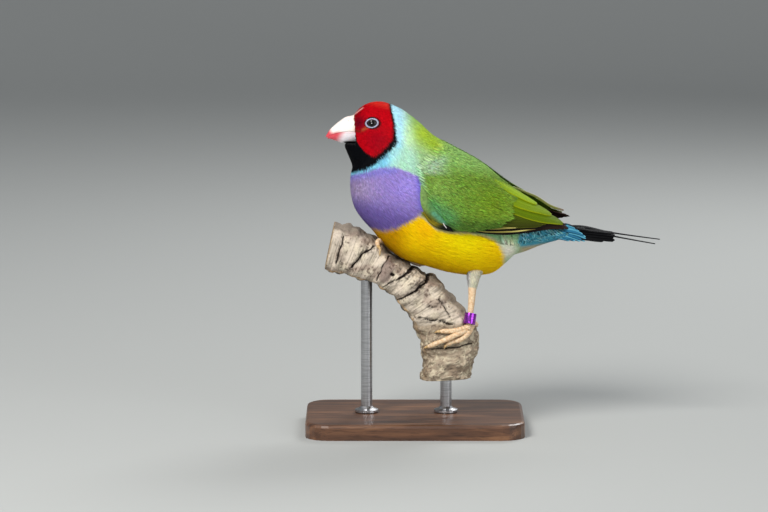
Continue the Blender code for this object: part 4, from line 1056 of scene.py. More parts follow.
# %% Tail feathers
TAIL_ROOT = np.array([52.0, 0.0, 77.5])
TAIL_ARCH = np.array([0.0, 0.0, 0.9])
# A pair's tip in x and z, how far out it lies, its half width, and how far it leans like a roof
TAIL_PAIRS = [
    (76.0, 76.1, 1.5, 2.0, 10.0),
    (76.8, 75.4, 2.3, 2.0, 18.0),
    (76.2, 74.6, 3.0, 2.0, 27.0),
    (76.6, 73.6, 3.6, 2.0, 36.0),
    (72.6, 73.6, 4.1, 1.9, 45.0),
]
# The middle feathers: x, y, z and half width
LONG_FEATHERS = [
    [(54, -0.6, 77.3, 1.6), (64, -0.9, 77.7, 1.9), (74, -1.0, 75.3, 1.3), (84, -1.1, 73.3, 0.62),
     (92.3, -1.2, 71.8, 0.3)],
    [(54, 0.7, 78.1, 1.6), (64, 1.0, 78.4, 1.9), (74, 1.2, 76.2, 1.3), (84, 1.3, 74.6, 0.62),
     (94.2, 1.3, 73.2, 0.3)],
]
BLACK = plain_vane((9, 9, 11), (15, 15, 18), 0.15)


def tail_quills():
    for side in (-1, 1):
        for k, (tip_x, tip_z, out, half, roof) in enumerate(TAIL_PAIRS):
            start = TAIL_ROOT + np.array([0, side * (0.6 + 0.45 * k), -0.42 * (k + 1)])
            end = np.array([tip_x, side * out, tip_z])
            shares = np.linspace(0, 1, 10)[:, None]
            line = start + (end - start) * shares + TAIL_ARCH * np.sin(np.pi * shares)
            lean = [0, side * math.sin(math.radians(roof)), math.cos(math.radians(roof))]
            yield quill(line, np.tile(lean, (10, 1)), (half, half), BLACK, spare=30 + k + side, taper=5.0)
    for points in LONG_FEATHERS:
        yield long_quill(along(points, np.linspace(0, len(points) - 1, 24)))


def long_quill(rows):
    """A middle feather, whose vane narrows to little more than its shaft."""
    last = len(rows) - 1
    at = along(rows, FORWARD * last)
    ahead = direction(rows[:, :3], FORWARD * last, QUILL_STEP * last)
    across = unit(np.cross(ahead, [0.0, 0.0, 1.0]))
    outward = unit(np.cross(across, ahead))
    shaft = 0.22 * np.exp(-((SIDE / 0.3) ** 2)) * (1 - 0.6 * FORWARD)
    reach = SIDE * at[:, 3] * np.sqrt(np.clip(1 - 0.9 * FORWARD**14, 0, 1))
    lift = LEVEL * 1.6 - 0.25 * SIDE**2 * at[:, 3] / 1.9 + shaft
    return at[:, :3] + across * reach[:, None] + outward * lift[:, None], BLACK()


quill_mesh("tail_quills", tail_quills(), TAIL_FINISH, "tail_black", "tail")

# %% The longest blue coverts
# Three places along each, from the root to the tip, and its half width
DROOPING = [
    ((54.0, 2.2, 78.5), (58.0, 2.7, 78.7), (61.4, 2.8, 77.9), 0.7),
    ((54.4, 2.6, 78.3), (59.0, 3.1, 78.1), (63.0, 3.2, 76.9), 0.7),
    ((55.0, 3.0, 78.0), (60.0, 3.5, 77.5), (64.3, 3.6, 75.9), 0.7),
    ((55.6, 3.3, 77.4), (60.8, 3.9, 76.7), (65.5, 4.0, 74.9), 0.68),
    ((56.0, 3.5, 76.8), (61.6, 4.1, 75.7), (66.9, 4.3, 73.5), 0.6),
    ((54.8, 3.8, 76.2), (60.2, 4.3, 75.2), (65.2, 4.5, 73.2), 0.66),
    ((53.8, 3.9, 75.8), (58.8, 4.4, 74.9), (63.4, 4.6, 73.2), 0.66),
    ((53.0, 4.0, 75.4), (57.2, 4.5, 74.6), (61.4, 4.7, 73.4), 0.66),
    ((52.4, 4.0, 75.0), (55.8, 4.5, 74.4), (59.2, 4.6, 73.4), 0.62),
]
BLUE_SHAFT = plain_vane((42, 104, 134), (14, 52, 74), 0.35, (108, 178, 200), 0.16)
BLUE_VANE = plain_vane((78, 146, 170), (18, 66, 92), 0.4, (120, 188, 208), 0.14)


def drooping_quills():
    shape = {"tip": 0.15, "camber": 0.1, "notch": 0.2, "taper": 2.0}
    for side in (-1, 1):
        outs = np.tile([0.1, side, 0.35], (12, 1))
        for k, (*points, half) in enumerate(DROOPING):
            line = along(np.array(points) * [1.0, side, 1.0], np.linspace(0, 2, 12))
            shade = BLUE_SHAFT if k % 2 else BLUE_VANE
            yield quill(line, outs, (half, half), shade, spare=60 + k, **shape)


quill_mesh("rump_long_feathers", drooping_quills(), COAT_FINISH, "rump_blue")

# %% [markdown]
# The bill
# A finch's bill is two smooth horn cones that meet along a line. Here each half is a draped sheet
# on its own slices, finer than the solid, with a dimple for each nostril. The horn is ivory, and
# flushed with pink toward the tip and along the lower half.

# %% Bill halves
UPPER_BILL = Form([
    ((-21.5, 122.2), (-20.4, 115.6), 4.5),
    ((-24.2, 121.2), (-23.1, 115.5), 4.6),
    ((-26.5, 120.7), (-25.4, 115.5), 4.0),
    ((-28.8, 119.2), (-28.1, 115.2), 3.2),
    ((-31.0, 117.4), (-30.2, 114.7), 2.35),
    ((-32.7, 115.7), (-32.1, 114.0), 1.5),
    ((-33.7, 114.2), (-33.3, 113.3), 0.8),
    ((-34.2, 113.2), (-34.1, 112.85), 0.25),
], fullness=0.9, shelf=-1)
LOWER_BILL = Form([
    ((-20.4, 115.5), (-20.4, 110.9), 4.35),
    ((-23.1, 115.5), (-22.9, 110.8), 4.5),
    ((-25.4, 115.45), (-25.6, 110.6), 3.92),
    ((-28.1, 115.2), (-28.5, 110.8), 3.05),
    ((-30.4, 114.65), (-30.6, 111.6), 2.15),
    ((-32.1, 113.95), (-32.5, 112.2), 1.35),
    ((-33.5, 113.15), (-33.6, 112.3), 0.6),
], fullness=0.9, shelf=1)
NOSTRIL_AT = np.array([-25.4, 3.1, 119.3])
NOSTRIL_RADIUS, NOSTRIL_DEPTH = 0.4, 0.7
PINK, BLUSH = (214, 72, 84), (226, 134, 134)


def bill_spot(form):
    def where(u, v):
        spots = form.bare(v * form.end, u * 360.0)
        for side in (-1, 1):
            away = np.linalg.norm(spots - NOSTRIL_AT * [1, side, 1], axis=-1)
            spots[:, 1] -= side * NOSTRIL_DEPTH * np.exp(-((away / NOSTRIL_RADIUS) ** 4))
        return spots

    return where


def horn_colour(spots, lower):
    """Ivory, pink toward the tip and along the mouth, and feathered black under the lower half."""
    x, z = spots[:, 0], spots[:, 2]
    mouth = np.interp(x, [-34.0, -32.0, -30.0, -28.0, -20.0], [112.95, 113.9, 114.5, 115.1, 115.4])
    if lower:
        chin = ramp(x, -27.8, -26.6) * ramp(-side_view(spots)[:, 1], -111.0, -110.6)
        return layered((236, 230, 234), spots, [
            (BLUSH, 0.3, ramp(z - mouth, -0.6, -0.1)),
            (PINK, 1.0, ramp(-x + 0.5 * (z - 113), 26.8, 30.6)),
            ((14, 15, 18), 1.0, chin),
        ])
    return layered((246, 238, 230), spots, [
        ((232, 200, 178), 0.6, ramp(x, -24.4, -22.9)),
        (BLUSH, 0.9, ramp(mouth - z, -1.4, -0.1) * ramp(-x, 27.5, 30.5)),
        (PINK, 1.0, ramp(-x - 0.5 * (z - 113.5), 30.2, 32.6)),
    ])


SOFT_HORN = {"Subsurface Weight": 0.12, "Subsurface Radius": (0.001, 0.0005, 0.0004), "Coat Weight": 0.25}
HORN = grained(
    new_finish("bill_horn_sheen", 0.28, 0.5, SOFT_HORN), {"scale": (500.0, 2200.0, 2200.0), "Detail": 4.0},
    [(0.3, (0.88, 0.84, 0.84)), (0.6, (1.0, 1.0, 1.0))], (0.12, 0.05), tinted=True,
)
for part, form, lower in (("upper", UPPER_BILL, False), ("lower", LOWER_BILL, True)):
    half = drape(f"bill_{part}_horn", 96, 80, bill_spot(form))
    paint(half, horn_colour(spots_of(half), lower))
    finished(half, HORN, "bill_horn", f"bill_{part}")

# %% [markdown]
# Eyes and lids
# The eye is a dark ball with a wet gloss, set deep. Round it runs a bare, beaded ring of pale skin.
# The ball is a UV sphere with its poles on the eye's axis. The ring is a draped tube on an oval.

# %% Eye material
WET = {"Coat Weight": 0.1, "Coat Roughness": 0.02}
EYE_FINISH, eye_tree, eye_shader = new_finish("eye_gloss", 0.08, 0.14, WET)
put(eye_tree, eye_shader.inputs["Base Color"], tint_of(eye_tree))
SOFT_LID = {"Subsurface Weight": 0.15, "Subsurface Radius": (0.0008, 0.0005, 0.0005)}
LID_FINISH = grained(
    new_finish("lid_skin", 0.5, 0.4, SOFT_LID), {"scale": 3800.0, "kind": "Voronoi"},
    [(0.0, linear(206, 212, 226)), (0.6, linear(136, 136, 160))], (0.4, -0.06),
)

# %% Eyes and lids
LID_LIFT = 0.72
LID_THICKNESS, LID_BEADS = 0.33, 34


def eye_axes(side):
    outward = Vector((-0.16, side, 0.1)).normalized()
    forward = Vector((-1, 0, -0.12))
    forward = (forward - outward * forward.dot(outward)).normalized()
    return outward, forward, outward.cross(forward)


def make_ball(name, side, centre):
    """Black, with a dark brown iris round the pupil and a small painted glint on the axis."""
    outward, forward, up = eye_axes(side)
    work = bmesh.new()
    bmesh.ops.create_uvsphere(work, u_segments=48, v_segments=32, radius=EYE_RADIUS * MM)
    turn = Matrix((forward, up * -side, outward)).transposed().to_4x4()
    bmesh.ops.transform(work, matrix=Matrix.Translation(centre * MM) @ turn, verts=work.verts)
    bmesh.ops.recalc_face_normals(work, faces=work.faces)
    ball = from_work(name, work)
    off_axis = np.linalg.norm(np.cross(spots_of(ball) - np.array(centre), np.array(outward)), axis=1)
    paint(ball, layered((10, 8, 8), off_axis[:, None], [
        ((40, 34, 34), 1.0, ramp(off_axis, 0.95, 1.1)),
        ((8, 6, 6), 1.0, ramp(off_axis, 1.45, 1.75)),
        # Painted highlight: a small white glint on the eye's axis
        ((240, 243, 246), 1.0, ramp(-off_axis, -0.2, -0.05)),
    ]))
    return ball


def lid_spot(side, centre):
    out, ahead, high = (np.array(axis) for axis in eye_axes(side))
    middle = np.array(centre) + out * EYE_RADIUS * LID_LIFT

    def where(u, v):
        round_eye, round_tube = v * 2 * np.pi, u * 2 * np.pi
        c, s = np.cos(round_eye)[:, None], np.sin(round_eye)[:, None]
        beads = 1 + 0.10 * np.sin(round_eye * LID_BEADS) * np.clip(np.cos(round_tube - 0.5), 0, 1)
        thick = LID_THICKNESS * beads
        oval = c * ahead * LID_LENGTH + s * high * LID_HEIGHT
        rim = (c * ahead + s * high) * (np.cos(round_tube) * thick)[:, None]
        return middle + oval + rim + out * (np.sin(round_tube) * thick * 0.9)[:, None]

    return where


for side_name, side in (("left", -1), ("right", 1)):
    centre = Vector((EYE_CENTRE[0], side * EYE_CENTRE[1], EYE_CENTRE[2]))
    ball = make_ball(f"eye_{side_name}_ball", side, centre)
    finished(ball, EYE_FINISH, "eye_dark", f"eye_{side_name}")
    lid = drape(f"lid_{side_name}", 16, 240, lid_spot(side, centre), ends=False)
    finished(lid, LID_FINISH, "eye_dark")

# %% [markdown]
# The log's rim
# The perch is weathered wood, split by shrinkage into radial plates with dark cracks between them.
# The draped sheet follows the same sections as the solid, and takes its cracks, grain and
# pits from formulas, so that the shape and the colour agree.

# %% The rim's surface
RIM_CENTRE = (-44.2, 17.3)
RIM_DEPTH = 24.0
# Angle round the log's centre, outer radius and inner radius
RIM_RADII = [
    (78.0, 63.4, 45.4), (70.0, 64.0, 46.2), (62.0, 63.2, 46.9), (56.0, 61.7, 48.5), (50.0, 61.7, 49.2),
    (44.0, 63.8, 49.6), (38.0, 66.2, 49.6), (30.0, 67.7, 49.6), (20.0, 70.4, 49.2), (12.0, 70.0, 48.5),
    (3.0, 65.4, 46.9),
]
RIM_SQUARENESS = 3.2
RIM_FROM, RIM_TO = RIM_RADII[0][0], RIM_RADII[-1][0]
# Cracks on the face, as lines in the side view, with a width at each end
CRACKS = [
    ([(-16.1, 70.6), (-20.7, 67.3), (-24.2, 62.3)], 0.9, 0.7),
    ([(-9.6, 66.8), (-12.9, 62.3), (-14.5, 57.4)], 0.5, 0.35),
    ([(0.8, 64.8), (-2.4, 60.7), (-6.9, 57.7), (-12.3, 54.9)], 1.5, 0.5),
    ([(5.5, 60.7), (4.1, 56.9), (0.3, 53.6), (-6.9, 49.7)], 1.8, 0.5),
    ([(9.1, 50.3), (11.2, 47.6), (14.0, 43.1)], 0.4, 0.3),
    ([(4.1, 49.2), (5.0, 48.4), (6.9, 47.3)], 0.4, 0.4),
    ([(14.0, 40.9), (8.0, 42.4), (1.1, 43.1)], 0.8, 0.5),
    ([(-27.5, 74.0), (-28.6, 69.0), (-30.4, 64.6)], 0.7, 0.5),
    ([(21.8, 33.0), (14.5, 31.6), (6.0, 31.2)], 0.6, 0.4),
]
KNOT_HOLE, KNOT_RADIUS, KNOT_DEPTH = (-8.8, 59.9), 0.9, 1.2
CRACK_WANDER = 0.7


def rim_radii(angle):
    angles, *radii = np.array(RIM_RADII).T
    place = np.interp(-angle, -angles, np.arange(len(angles)))
    return np.moveaxis(along(np.stack(radii, -1), place), -1, 0)


def rough(spots, scale, seed=0.0):
    """Smooth noise from -1 to 1 at points in millimetres, at a scale in millimetres."""
    places = spots / scale + seed
    return np.array([noise.noise(Vector(p)) for p in places.tolist()])


def rim_point(angle, turn, lift=0.0):
    """Turn 0 is the outside, 90 the front at -Y, 180 the inside."""
    outer, inner = rim_radii(angle)
    middle, half = (outer + inner) / 2, (outer - inner) / 2
    a, t = np.radians(angle), np.radians(turn)
    c, s = np.cos(t), np.sin(t)
    power = 2.0 / RIM_SQUARENESS
    ripple = 0.35 * np.sin(0.55 * angle + 2.0 * t) + 0.25 * np.sin(1.3 * angle - 3.0 * t)
    swell = lift + ripple
    radius = middle + np.sign(c) * np.abs(c) ** power * (half + swell)
    front = np.sign(s) * np.abs(s) ** power * (RIM_DEPTH / 2 + swell)
    return np.stack([RIM_CENTRE[0] + radius * np.cos(a), -front, RIM_CENTRE[1] + radius * np.sin(a)], -1)


def crack_depth(spots, spread=1.0):
    """How deep the shrinkage cracks and the knot hole are at each point, in millimetres."""
    flat = side_view(spots)
    flat = flat + CRACK_WANDER * np.stack([rough(spots, 4.0, 3.0), rough(spots, 4.0, 13.0)], -1)
    off_knot = np.hypot(flat[:, 0] - KNOT_HOLE[0], 1.4 * (flat[:, 1] - KNOT_HOLE[1]))
    deep = KNOT_DEPTH * np.exp(-((off_knot / KNOT_RADIUS) ** 4))
    spread = spread * (1 + 0.8 * rough(spots, 1.8, 41.0))
    for line, wide, narrow in CRACKS:
        for k, (start, end) in enumerate(zip(line, line[1:])):
            away, share = off_line(flat, start, end)
            width = wide + (narrow - wide) * (k + share) / (len(line) - 1)
            deep = np.maximum(deep, (0.5 + 0.6 * width) * np.exp(-((away / (0.5 * width * spread)) ** 4)))
    return deep

# %% Wood finish
WOOD = grained(
    new_finish("weathered_rim", 0.85, 0.2), {"scale": 900.0, "Detail": 6.0, "Roughness": 0.7},
    [(0.3, (0.62, 0.6, 0.58)), (0.5, (0.95, 0.94, 0.92)), (0.72, (1, 1, 1))], (0.6, 0.35), tinted=True,
    pits=({"scale": 420.0, "kind": "Voronoi"}, [(0.0, (0.35, 0.32, 0.3)), (0.16, (1, 1, 1))]),
)

# %% Drape the wood
CUT_SHARE = 0.05


def plate_relief(base, turn):
    """Torn plates, strongest on the log's outside, and flakes of bark at its foot."""
    outside = 0.22 + 0.78 * np.clip(np.cos(np.radians(turn)) * 1.3 - 0.1, 0, 1)
    torn = 0.55 - 2.2 * np.abs(rough(base, 5.0, 31.0)) + 0.6 * rough(base, 1.8, 7.0)
    bark = 0.5 - 1.8 * np.abs(rough(base, 2.6, 51.0)) + 0.35 * rough(base, 0.9, 57.0)
    bark = bark * ramp(-side_view(base)[:, 1], -41.0, -38.0)[:, 0]
    return 0.5 * rough(base, 7.0) * outside + torn * outside * 0.5 + 0.14 * rough(base, 0.8, 9.0) + 0.6 * bark


def wood_spot(u, v):
    """The first and the last rows lie on the sawn ends, from the middle of the section outward."""
    length = np.clip((v - CUT_SHARE) / (1 - 2 * CUT_SHARE), 0, 1)
    angle, turn = RIM_FROM + (RIM_TO - RIM_FROM) * length, u * 360.0
    base = rim_point(angle, turn)
    spots = rim_point(angle, turn, plate_relief(base, turn) - crack_depth(base))
    a, middle_radius = np.radians(angle), sum(rim_radii(angle)) / 2
    out = np.stack([np.cos(a), 0 * a, np.sin(a)], -1)
    inward = np.stack([-np.sin(a), 0 * a, np.cos(a)], -1) * np.where(v < 0.5, -1, 1)[:, None]
    middle = out * middle_radius[:, None] + [RIM_CENTRE[0], 0.0, RIM_CENTRE[1]]
    share = np.clip(np.minimum(v, 1 - v) / CUT_SHARE, 0.04, 1)
    spots = middle + (spots - middle) * share[:, None]
    sawn = (share < 0.98) * (0.35 * np.abs(rough(spots, 3.0, 71.0)) + 0.2 * np.abs(rough(spots, 0.8, 75.0)))
    return spots + inward * sawn[:, None]

# %% Colour the wood
def wood_colour(spots):
    """Grey weathered wood, darker in its cracks and on its edges, with bark at its foot and growth
    rings on its sawn ends."""
    x, z = spots[:, 0] - RIM_CENTRE[0], spots[:, 2] - RIM_CENTRE[1]
    angle, radius = np.degrees(np.arctan2(z, x)), np.hypot(x, z)
    outer, inner = rim_radii(angle)
    out = (radius - (outer + inner) / 2) / ((outer - inner) / 2)
    along_x, up = side_view(spots).T
    face = ramp(-spots[:, 1], 6.0, 10.0)
    blotch, speck, fleck = rough(spots, 6.0, 2.0), rough(spots, 1.1, 6.0), rough(spots, 2.6, 8.0)
    fibre = rough(np.stack([angle * 1.9, out * 1.3, spots[:, 1] / 4], -1), 1.0, 4.0)
    shrunk = ramp(crack_depth(spots, 3.4), 0.1, 0.7) * ramp(rough(spots, 0.9, 22.0), -0.25, 0.3)
    cut = ramp(np.abs(angle - (RIM_FROM + RIM_TO) / 2) - abs(RIM_FROM - RIM_TO) / 2, -0.35, -0.1)
    rings = 0.5 + 0.5 * np.sin(np.hypot(radius - 30.0, spots[:, 1] - 4.0) * 4.2 + 2.0 * blotch)
    grain = layered((176, 152, 118), spots, [((132, 106, 80), 1.0, ramp(rings + 0.4 * speck, 0.4, 1.0))])
    darker_patch = np.hypot((along_x + 10.6) / 3.4, (up - 61.6 - 0.9 * (along_x + 10.6)) / 4.6)
    low = ramp(-up, -40.5, -37.0)
    return layered((208, 195, 178), spots, [
        ((170, 152, 138), 0.8, ramp(blotch, 0.0, 0.4)),
        ((216, 204, 182), 0.8, ramp(rough(spots, 3.4, 16.0), 0.05, 0.4)),
        ((0, 0, 0), 0.42, ramp(fibre, 0.05, 0.5)),
        ((0, 0, 0), 0.5, shrunk),
        ((134, 116, 104), 0.8, ramp(out + 0.25 * blotch, 0.76, 0.97)),
        ((146, 138, 124), 0.6, 1 - face),
        (grain, 0.85, cut),
        ((206, 160, 96), 0.8, face * ramp(-out + 0.1 * speck, 0.8, 0.95)),
        ((96, 92, 86), 1.0, ramp(-out, 0.9, 1.0) * (1 - face)),
        # A darker pinkish patch on the face, round the knot hole below the bird
        ((142, 124, 116), 0.85, face * ramp(-darker_patch - 0.2 * blotch, -1.05, -0.8)),
        ((140, 122, 100), 0.7, ramp(-up + 2 * blotch, -42.0, -40.0)),
        ((212, 200, 174), 0.8, low * ramp(speck + 0.8 * fleck, -0.15, 0.4)),
        ((66, 54, 48), 0.8, low * ramp(-np.abs(rough(spots, 2.6, 51.0)), -0.07, 0.0)),
        ((84, 68, 58), 0.7, face * ramp(speck + 0.5 * blotch, 0.42, 0.55)),
        ((38, 29, 26), 1.0, ramp(crack_depth(spots), 0.2, 0.6)),
    ])


rim = drape("log_rim", 190, 440, wood_spot)
paint(rim, wood_colour(spots_of(rim)))
finished(rim, WOOD, "weathered_wood", "perch_log_rim")

# %% [markdown]
# Legs and feet
# The bare leg is a thin shank covered with overlapping plates, and the toes wear rings of
# small scales with soft pads between the joints. Each is a draped tube whose radius steps in and
# out along its length. Claws are plain, curved and glossy.

# %% Tubes along a line
def rounded(past, least):
    """The width of a tube's end, from 1 where it begins to round to the least at its tip."""
    return np.sqrt(np.clip(1 - np.clip(past, 0, 1) ** 2, least, 1))


def tube_spot(line, radii, scale_length=1.0, scale_depth=0.05, pads=0.0):
    """A limb along rows of points, with plates that overlap along it."""
    line, radii = np.array(line, float), np.array(radii, float)
    last = len(line) - 1
    length = np.linalg.norm(np.diff(line, axis=0), axis=1).sum()

    def where(u, v):
        centre = along(line, v * last)
        reach = along(radii[:, None], v * (len(radii) - 1))[:, 0]
        ahead = direction(line, v * last, 0.01 * last)
        guide = np.where(np.abs(ahead[:, 2:]) > 0.9, [[0.0, 1.0, 0.0]], [[0.0, 0.0, 1.0]])
        across = unit(np.cross(ahead, guide))
        up = np.cross(across, ahead)
        turn = u * 2 * np.pi
        step = (v * length / scale_length) % 1.0
        plate = scale_depth * (step - 0.5) * np.clip(0.6 + 0.6 * np.sin(turn), 0, 1)
        pad = pads * np.clip(-np.sin(turn), 0, 1) * np.abs(np.sin(v * np.pi * 3.0))
        size = (reach + plate + pad) * rounded((np.abs(v - 0.5) - 0.47) / 0.03, 0.02)
        return centre + across * (np.cos(turn) * size)[:, None] + up * (np.sin(turn) * size)[:, None]

    return where


def limb_finish(name, base, light, roughness, gloss):
    soft = {"Subsurface Weight": 0.1, "Subsurface Radius": (0.001, 0.0005, 0.0003)}
    scales = {"scale": 2200.0, "kind": "Voronoi"}
    return grained(
        new_finish(name, roughness, gloss, soft), {"scale": 1200.0, "Detail": 4.0},
        [(0.3, linear(*base)), (0.7, linear(*light))], (0.35, 0.08), bumped=scales,
    )


LEG_SKIN = limb_finish("leg_skin_scaled", (202, 160, 118), (230, 208, 174), 0.45, 0.4)
CLAW_HORN = limb_finish("claw_horn", (170, 134, 84), (212, 184, 136), 0.25, 0.5)


def face_angles(x, z):
    """The angle and turn of the rim's face that lie straight behind a place in the side view."""
    dx, dz = x - RIM_CENTRE[0], z - RIM_CENTRE[1]
    angle, low, high = math.degrees(math.atan2(dz, dx)), 1.0, 179.0
    for _ in range(40):
        turn = (low + high) / 2
        spot = rim_point(angle, turn)
        farther = math.hypot(spot[0] - RIM_CENTRE[0], spot[2] - RIM_CENTRE[1]) > math.hypot(dx, dz)
        low, high = (turn, high) if farther else (low, turn)
    return angle, turn

# %% Shanks
# Each limb has the points of its line and a radius at each
SHANKS = {
    "left": (
        [(21.9, -9.5, 56.2), (21.8, -9.9, 53.2), (21.3, -10.6, 47.3), (20.5, -11.6, 41.8), (20.0, -12.1, 40.2)],
        [1.6, 1.4, 1.15, 1.05, 1.35],
    ),
    "right": (
        [(2.6, 5.2, 63.3), (-0.8, 4.3, 64.4), (-4.6, 3.0, 67.2), (-8.2, 1.6, 70.2), (-10.0, 0.8, 71.9)],
        [1.45, 1.25, 1.0, 1.0, 1.2],
    ),
}
THIGHS = {
    "left": (
        [(25.0, -6.5, 66.0), (22.6, -8.0, 61.0), (22.2, -9.0, 58.2), (21.9, -9.6, 55.0)],
        [3.2, 2.9, 2.4, 1.5],
    ),
    "right": (
        [(9.0, 6.5, 69.5), (6.4, 6.2, 66.0), (3.8, 5.6, 63.9), (1.6, 5.0, 63.5)],
        [2.6, 2.1, 1.7, 1.4],
    ),
}
for side_name, (line, radii) in SHANKS.items():
    shank = drape(f"shank_{side_name}", 32, 120, tube_spot(line, radii, 1.15, 0.16))
    finished(shank, LEG_SKIN, "leg_skin", f"leg_{side_name}")

# %% Feet
TOE_RADII = [1.25, 0.95, 1.02, 0.86, 0.88, 0.6]
CLAW_RADII = [0.66, 0.52, 0.36, 0.1]
TOE_GAP, PALM_LIFT, PALM_RADIUS = 0.3, 1.3, 1.5
# The left foot's front toes lie on the rim's face: six places in the side view, and the claw's tip
FACE_TOES = {
    "middle": ([(20.0, 40.3), (16.8, 38.9), (13.5, 37.4), (10.4, 36.0), (7.6, 34.8), (5.6, 33.6)], (3.4, 32.2)),
    "inner": ([(20.2, 39.9), (18.8, 37.8), (16.9, 36.4), (14.8, 35.7), (13.2, 35.1), (12.2, 34.5)], (11.1, 32.6)),
    "outer": ([(20.0, 41.2), (17.8, 40.4), (15.4, 39.9), (13.0, 39.7), (11.2, 39.8), (9.8, 39.6)], (7.5, 38.9)),
}
# The others wrap round the rim: six angles and turns on it, and those of the claw's tip
ROUND_TOES = {
    "left": {"hind": ([(19.6, 44), (20.1, 30), (19.9, 15), (19.0, 0), (18.0, -14), (17.1, -28)], (15.6, -50))},
    "right": {
        "inner": ([(58.8, 2), (60.2, 8), (61.4, 15), (62.0, 23), (61.9, 31), (61.3, 39)], (59.1, 61)),
        "middle": ([(58.8, 0), (59.7, -16), (60.5, -30), (61.3, -42), (62.1, -52), (62.8, -60)], (63.6, -82)),
        "outer": ([(58.6, -4), (58.0, -20), (57.5, -36), (57.1, -48), (56.8, -57), (56.6, -66)], (56.2, -86)),
        "hind": ([(58.2, -2), (56.4, -6), (54.4, -11), (52.6, -18), (51.2, -27), (50.4, -37)], (49.6, -58)),
    },
}
PALMS = {"left": face_angles(20.3, 40.6), "right": (58.6, 0.0)}


def palm(name, spot):
    work = bmesh.new()
    bmesh.ops.create_uvsphere(work, u_segments=32, v_segments=20, radius=PALM_RADIUS * MM)
    bmesh.ops.translate(work, vec=Vector(spot) * MM, verts=work.verts)
    made = from_work(name, work)
    made.data.uv_layers.new(name="OFBake")
    return made


def toe_and_claw(name, path, tip, on_face):
    """A toe through its places on the rim, and a claw that arches from it down to its tip."""
    if on_face:
        path, tip = [face_angles(*place) for place in path], face_angles(*tip)
        root, end = rim_point(*path[-1], 0.7), rim_point(*tip, 0.25)
        middle = (root + end) / 2 + [-0.1, -0.8, 0.3]
    else:
        root, end = rim_point(*path[-1], 0.6), rim_point(*tip, 0.2)
        middle = rim_point((path[-1][0] + tip[0]) / 2, (path[-1][1] + tip[1]) / 2, 1.5)
    line = [rim_point(*place, radius + TOE_GAP) for place, radius in zip(path, TOE_RADII)]
    toe = drape(f"{name}_toe", 28, 90, tube_spot(line, TOE_RADII, 0.95, 0.2, pads=0.16))
    claw = drape(f"{name}_claw", 20, 40, tube_spot([root, middle, end], CLAW_RADII, 50.0, 0.0))
    return toe, claw


def join_pieces(name, pieces):
    """Joins meshes that all have the same layers into the first one."""
    with bpy.context.temp_override(active_object=pieces[0], selected_editable_objects=pieces):
        bpy.ops.object.join()
    pieces[0].name = pieces[0].data.name = name
    return pieces[0]


for side_name, palm_at in PALMS.items():
    toes, claws = [palm(f"foot_{side_name}_palm", rim_point(*palm_at, PALM_LIFT))], []
    paths = [(*item, True) for item in FACE_TOES.items() if side_name == "left"]
    paths += [(*item, False) for item in ROUND_TOES[side_name].items()]
    for name, (path, tip), on_face in paths:
        toe, claw = toe_and_claw(name, path, tip, on_face)
        toes.append(toe)
        claws.append(claw)
    finished(join_pieces(f"foot_{side_name}_toes", toes), LEG_SKIN, "leg_skin", f"foot_{side_name}")
    finished(join_pieces(f"foot_{side_name}_claws", claws), CLAW_HORN, "leg_skin")

# %% [markdown]
# Feathered thighs
# Below the yellow belly the thigh shows as a short, whitish boot of soft feathers, laid down along
# the leg over a draped tube.

# %% Boots
class Limb(Form):
    """A tube as a form: place runs down its line and angle goes round it."""

    def __init__(self, line, radii):
        self.line, self.radii = np.array(line, float), np.array(radii, float)
        self.first, self.end = 0.0, len(line) - 1.0

    def bare(self, place, angle):
        place, angle = np.broadcast_arrays(np.asarray(place, float), np.asarray(angle, float))
        centre = along(self.line, place)
        reach = along(self.radii[:, None], place)[..., 0]
        ahead = direction(self.line, place, 0.02)
        across = unit(np.cross(ahead, [0.0, 1.0, 0.0]))
        up = np.cross(across, ahead)
        turn = np.radians(angle)
        return centre + across * (np.cos(turn) * reach)[..., None] + up * (np.sin(turn) * reach)[..., None]

    def outward(self, place, angle):
        return unit(self.bare(place, angle) - along(self.line, place))


def boot_colour(spots, edge=0.0):
    return layered((214, 210, 186), spots, [
        ((178, 178, 194), 0.6, ramp(-spots[..., 0], -21.6, -20.4)),
        ((236, 188, 20), 1.0, ramp(spots[..., 2], 62.0, 64.0)),
    ])


def thigh_spot(limb):
    def where(u, v):
        centre = along(limb.line, v * limb.end)
        return centre + (limb.bare(v * limb.end, u * 360.0) - centre) * rounded((v - 0.9) / 0.1, 0.05)[:, None]

    return where


# The tube under the boot's feathers is painted darker, as shade in the gaps between them
DOWN_DEPTH, PAINTED_SHADE_UNDER_DOWN = 0.45, 0.85
for side_name, (line, radii) in THIGHS.items():
    limb = Limb(line, np.array(radii) - DOWN_DEPTH)
    thigh = drape(f"thigh_{side_name}", 40, 60, thigh_spot(limb))
    paint(thigh, boot_colour(spots_of(thigh)) * PAINTED_SHADE_UNDER_DOWN)
    finished(thigh, SKIN_FINISH, "thigh_down")
    name, roots = f"coat_boot_{side_name}", spread_roots(limb, (0.3, 2.75), 0.5, (0.0, 360.0))
    lay_feathers(name, limb, HEAD_VANE, roots, 2.6, 0.6, (0.0, 0.4), COAT_FINISH, "thigh_down",
                 colour=boot_colour, streak=0.16, lean=24.0)

# %% [markdown]
# The leg ring
# A breeder's ring is a short tube of anodised aluminium. It is a small profile spun round its
# axis, with rounded edges that catch the light.

# %% Ring
RING_CENTRE = (21.0, -11.05, 44.2)
RING_AXIS = (0.85, 1.35, 5.5)
RING_HALF, RING_OUTER, RING_INNER, RING_EDGE = 2.1, 2.3, 1.75, 0.12


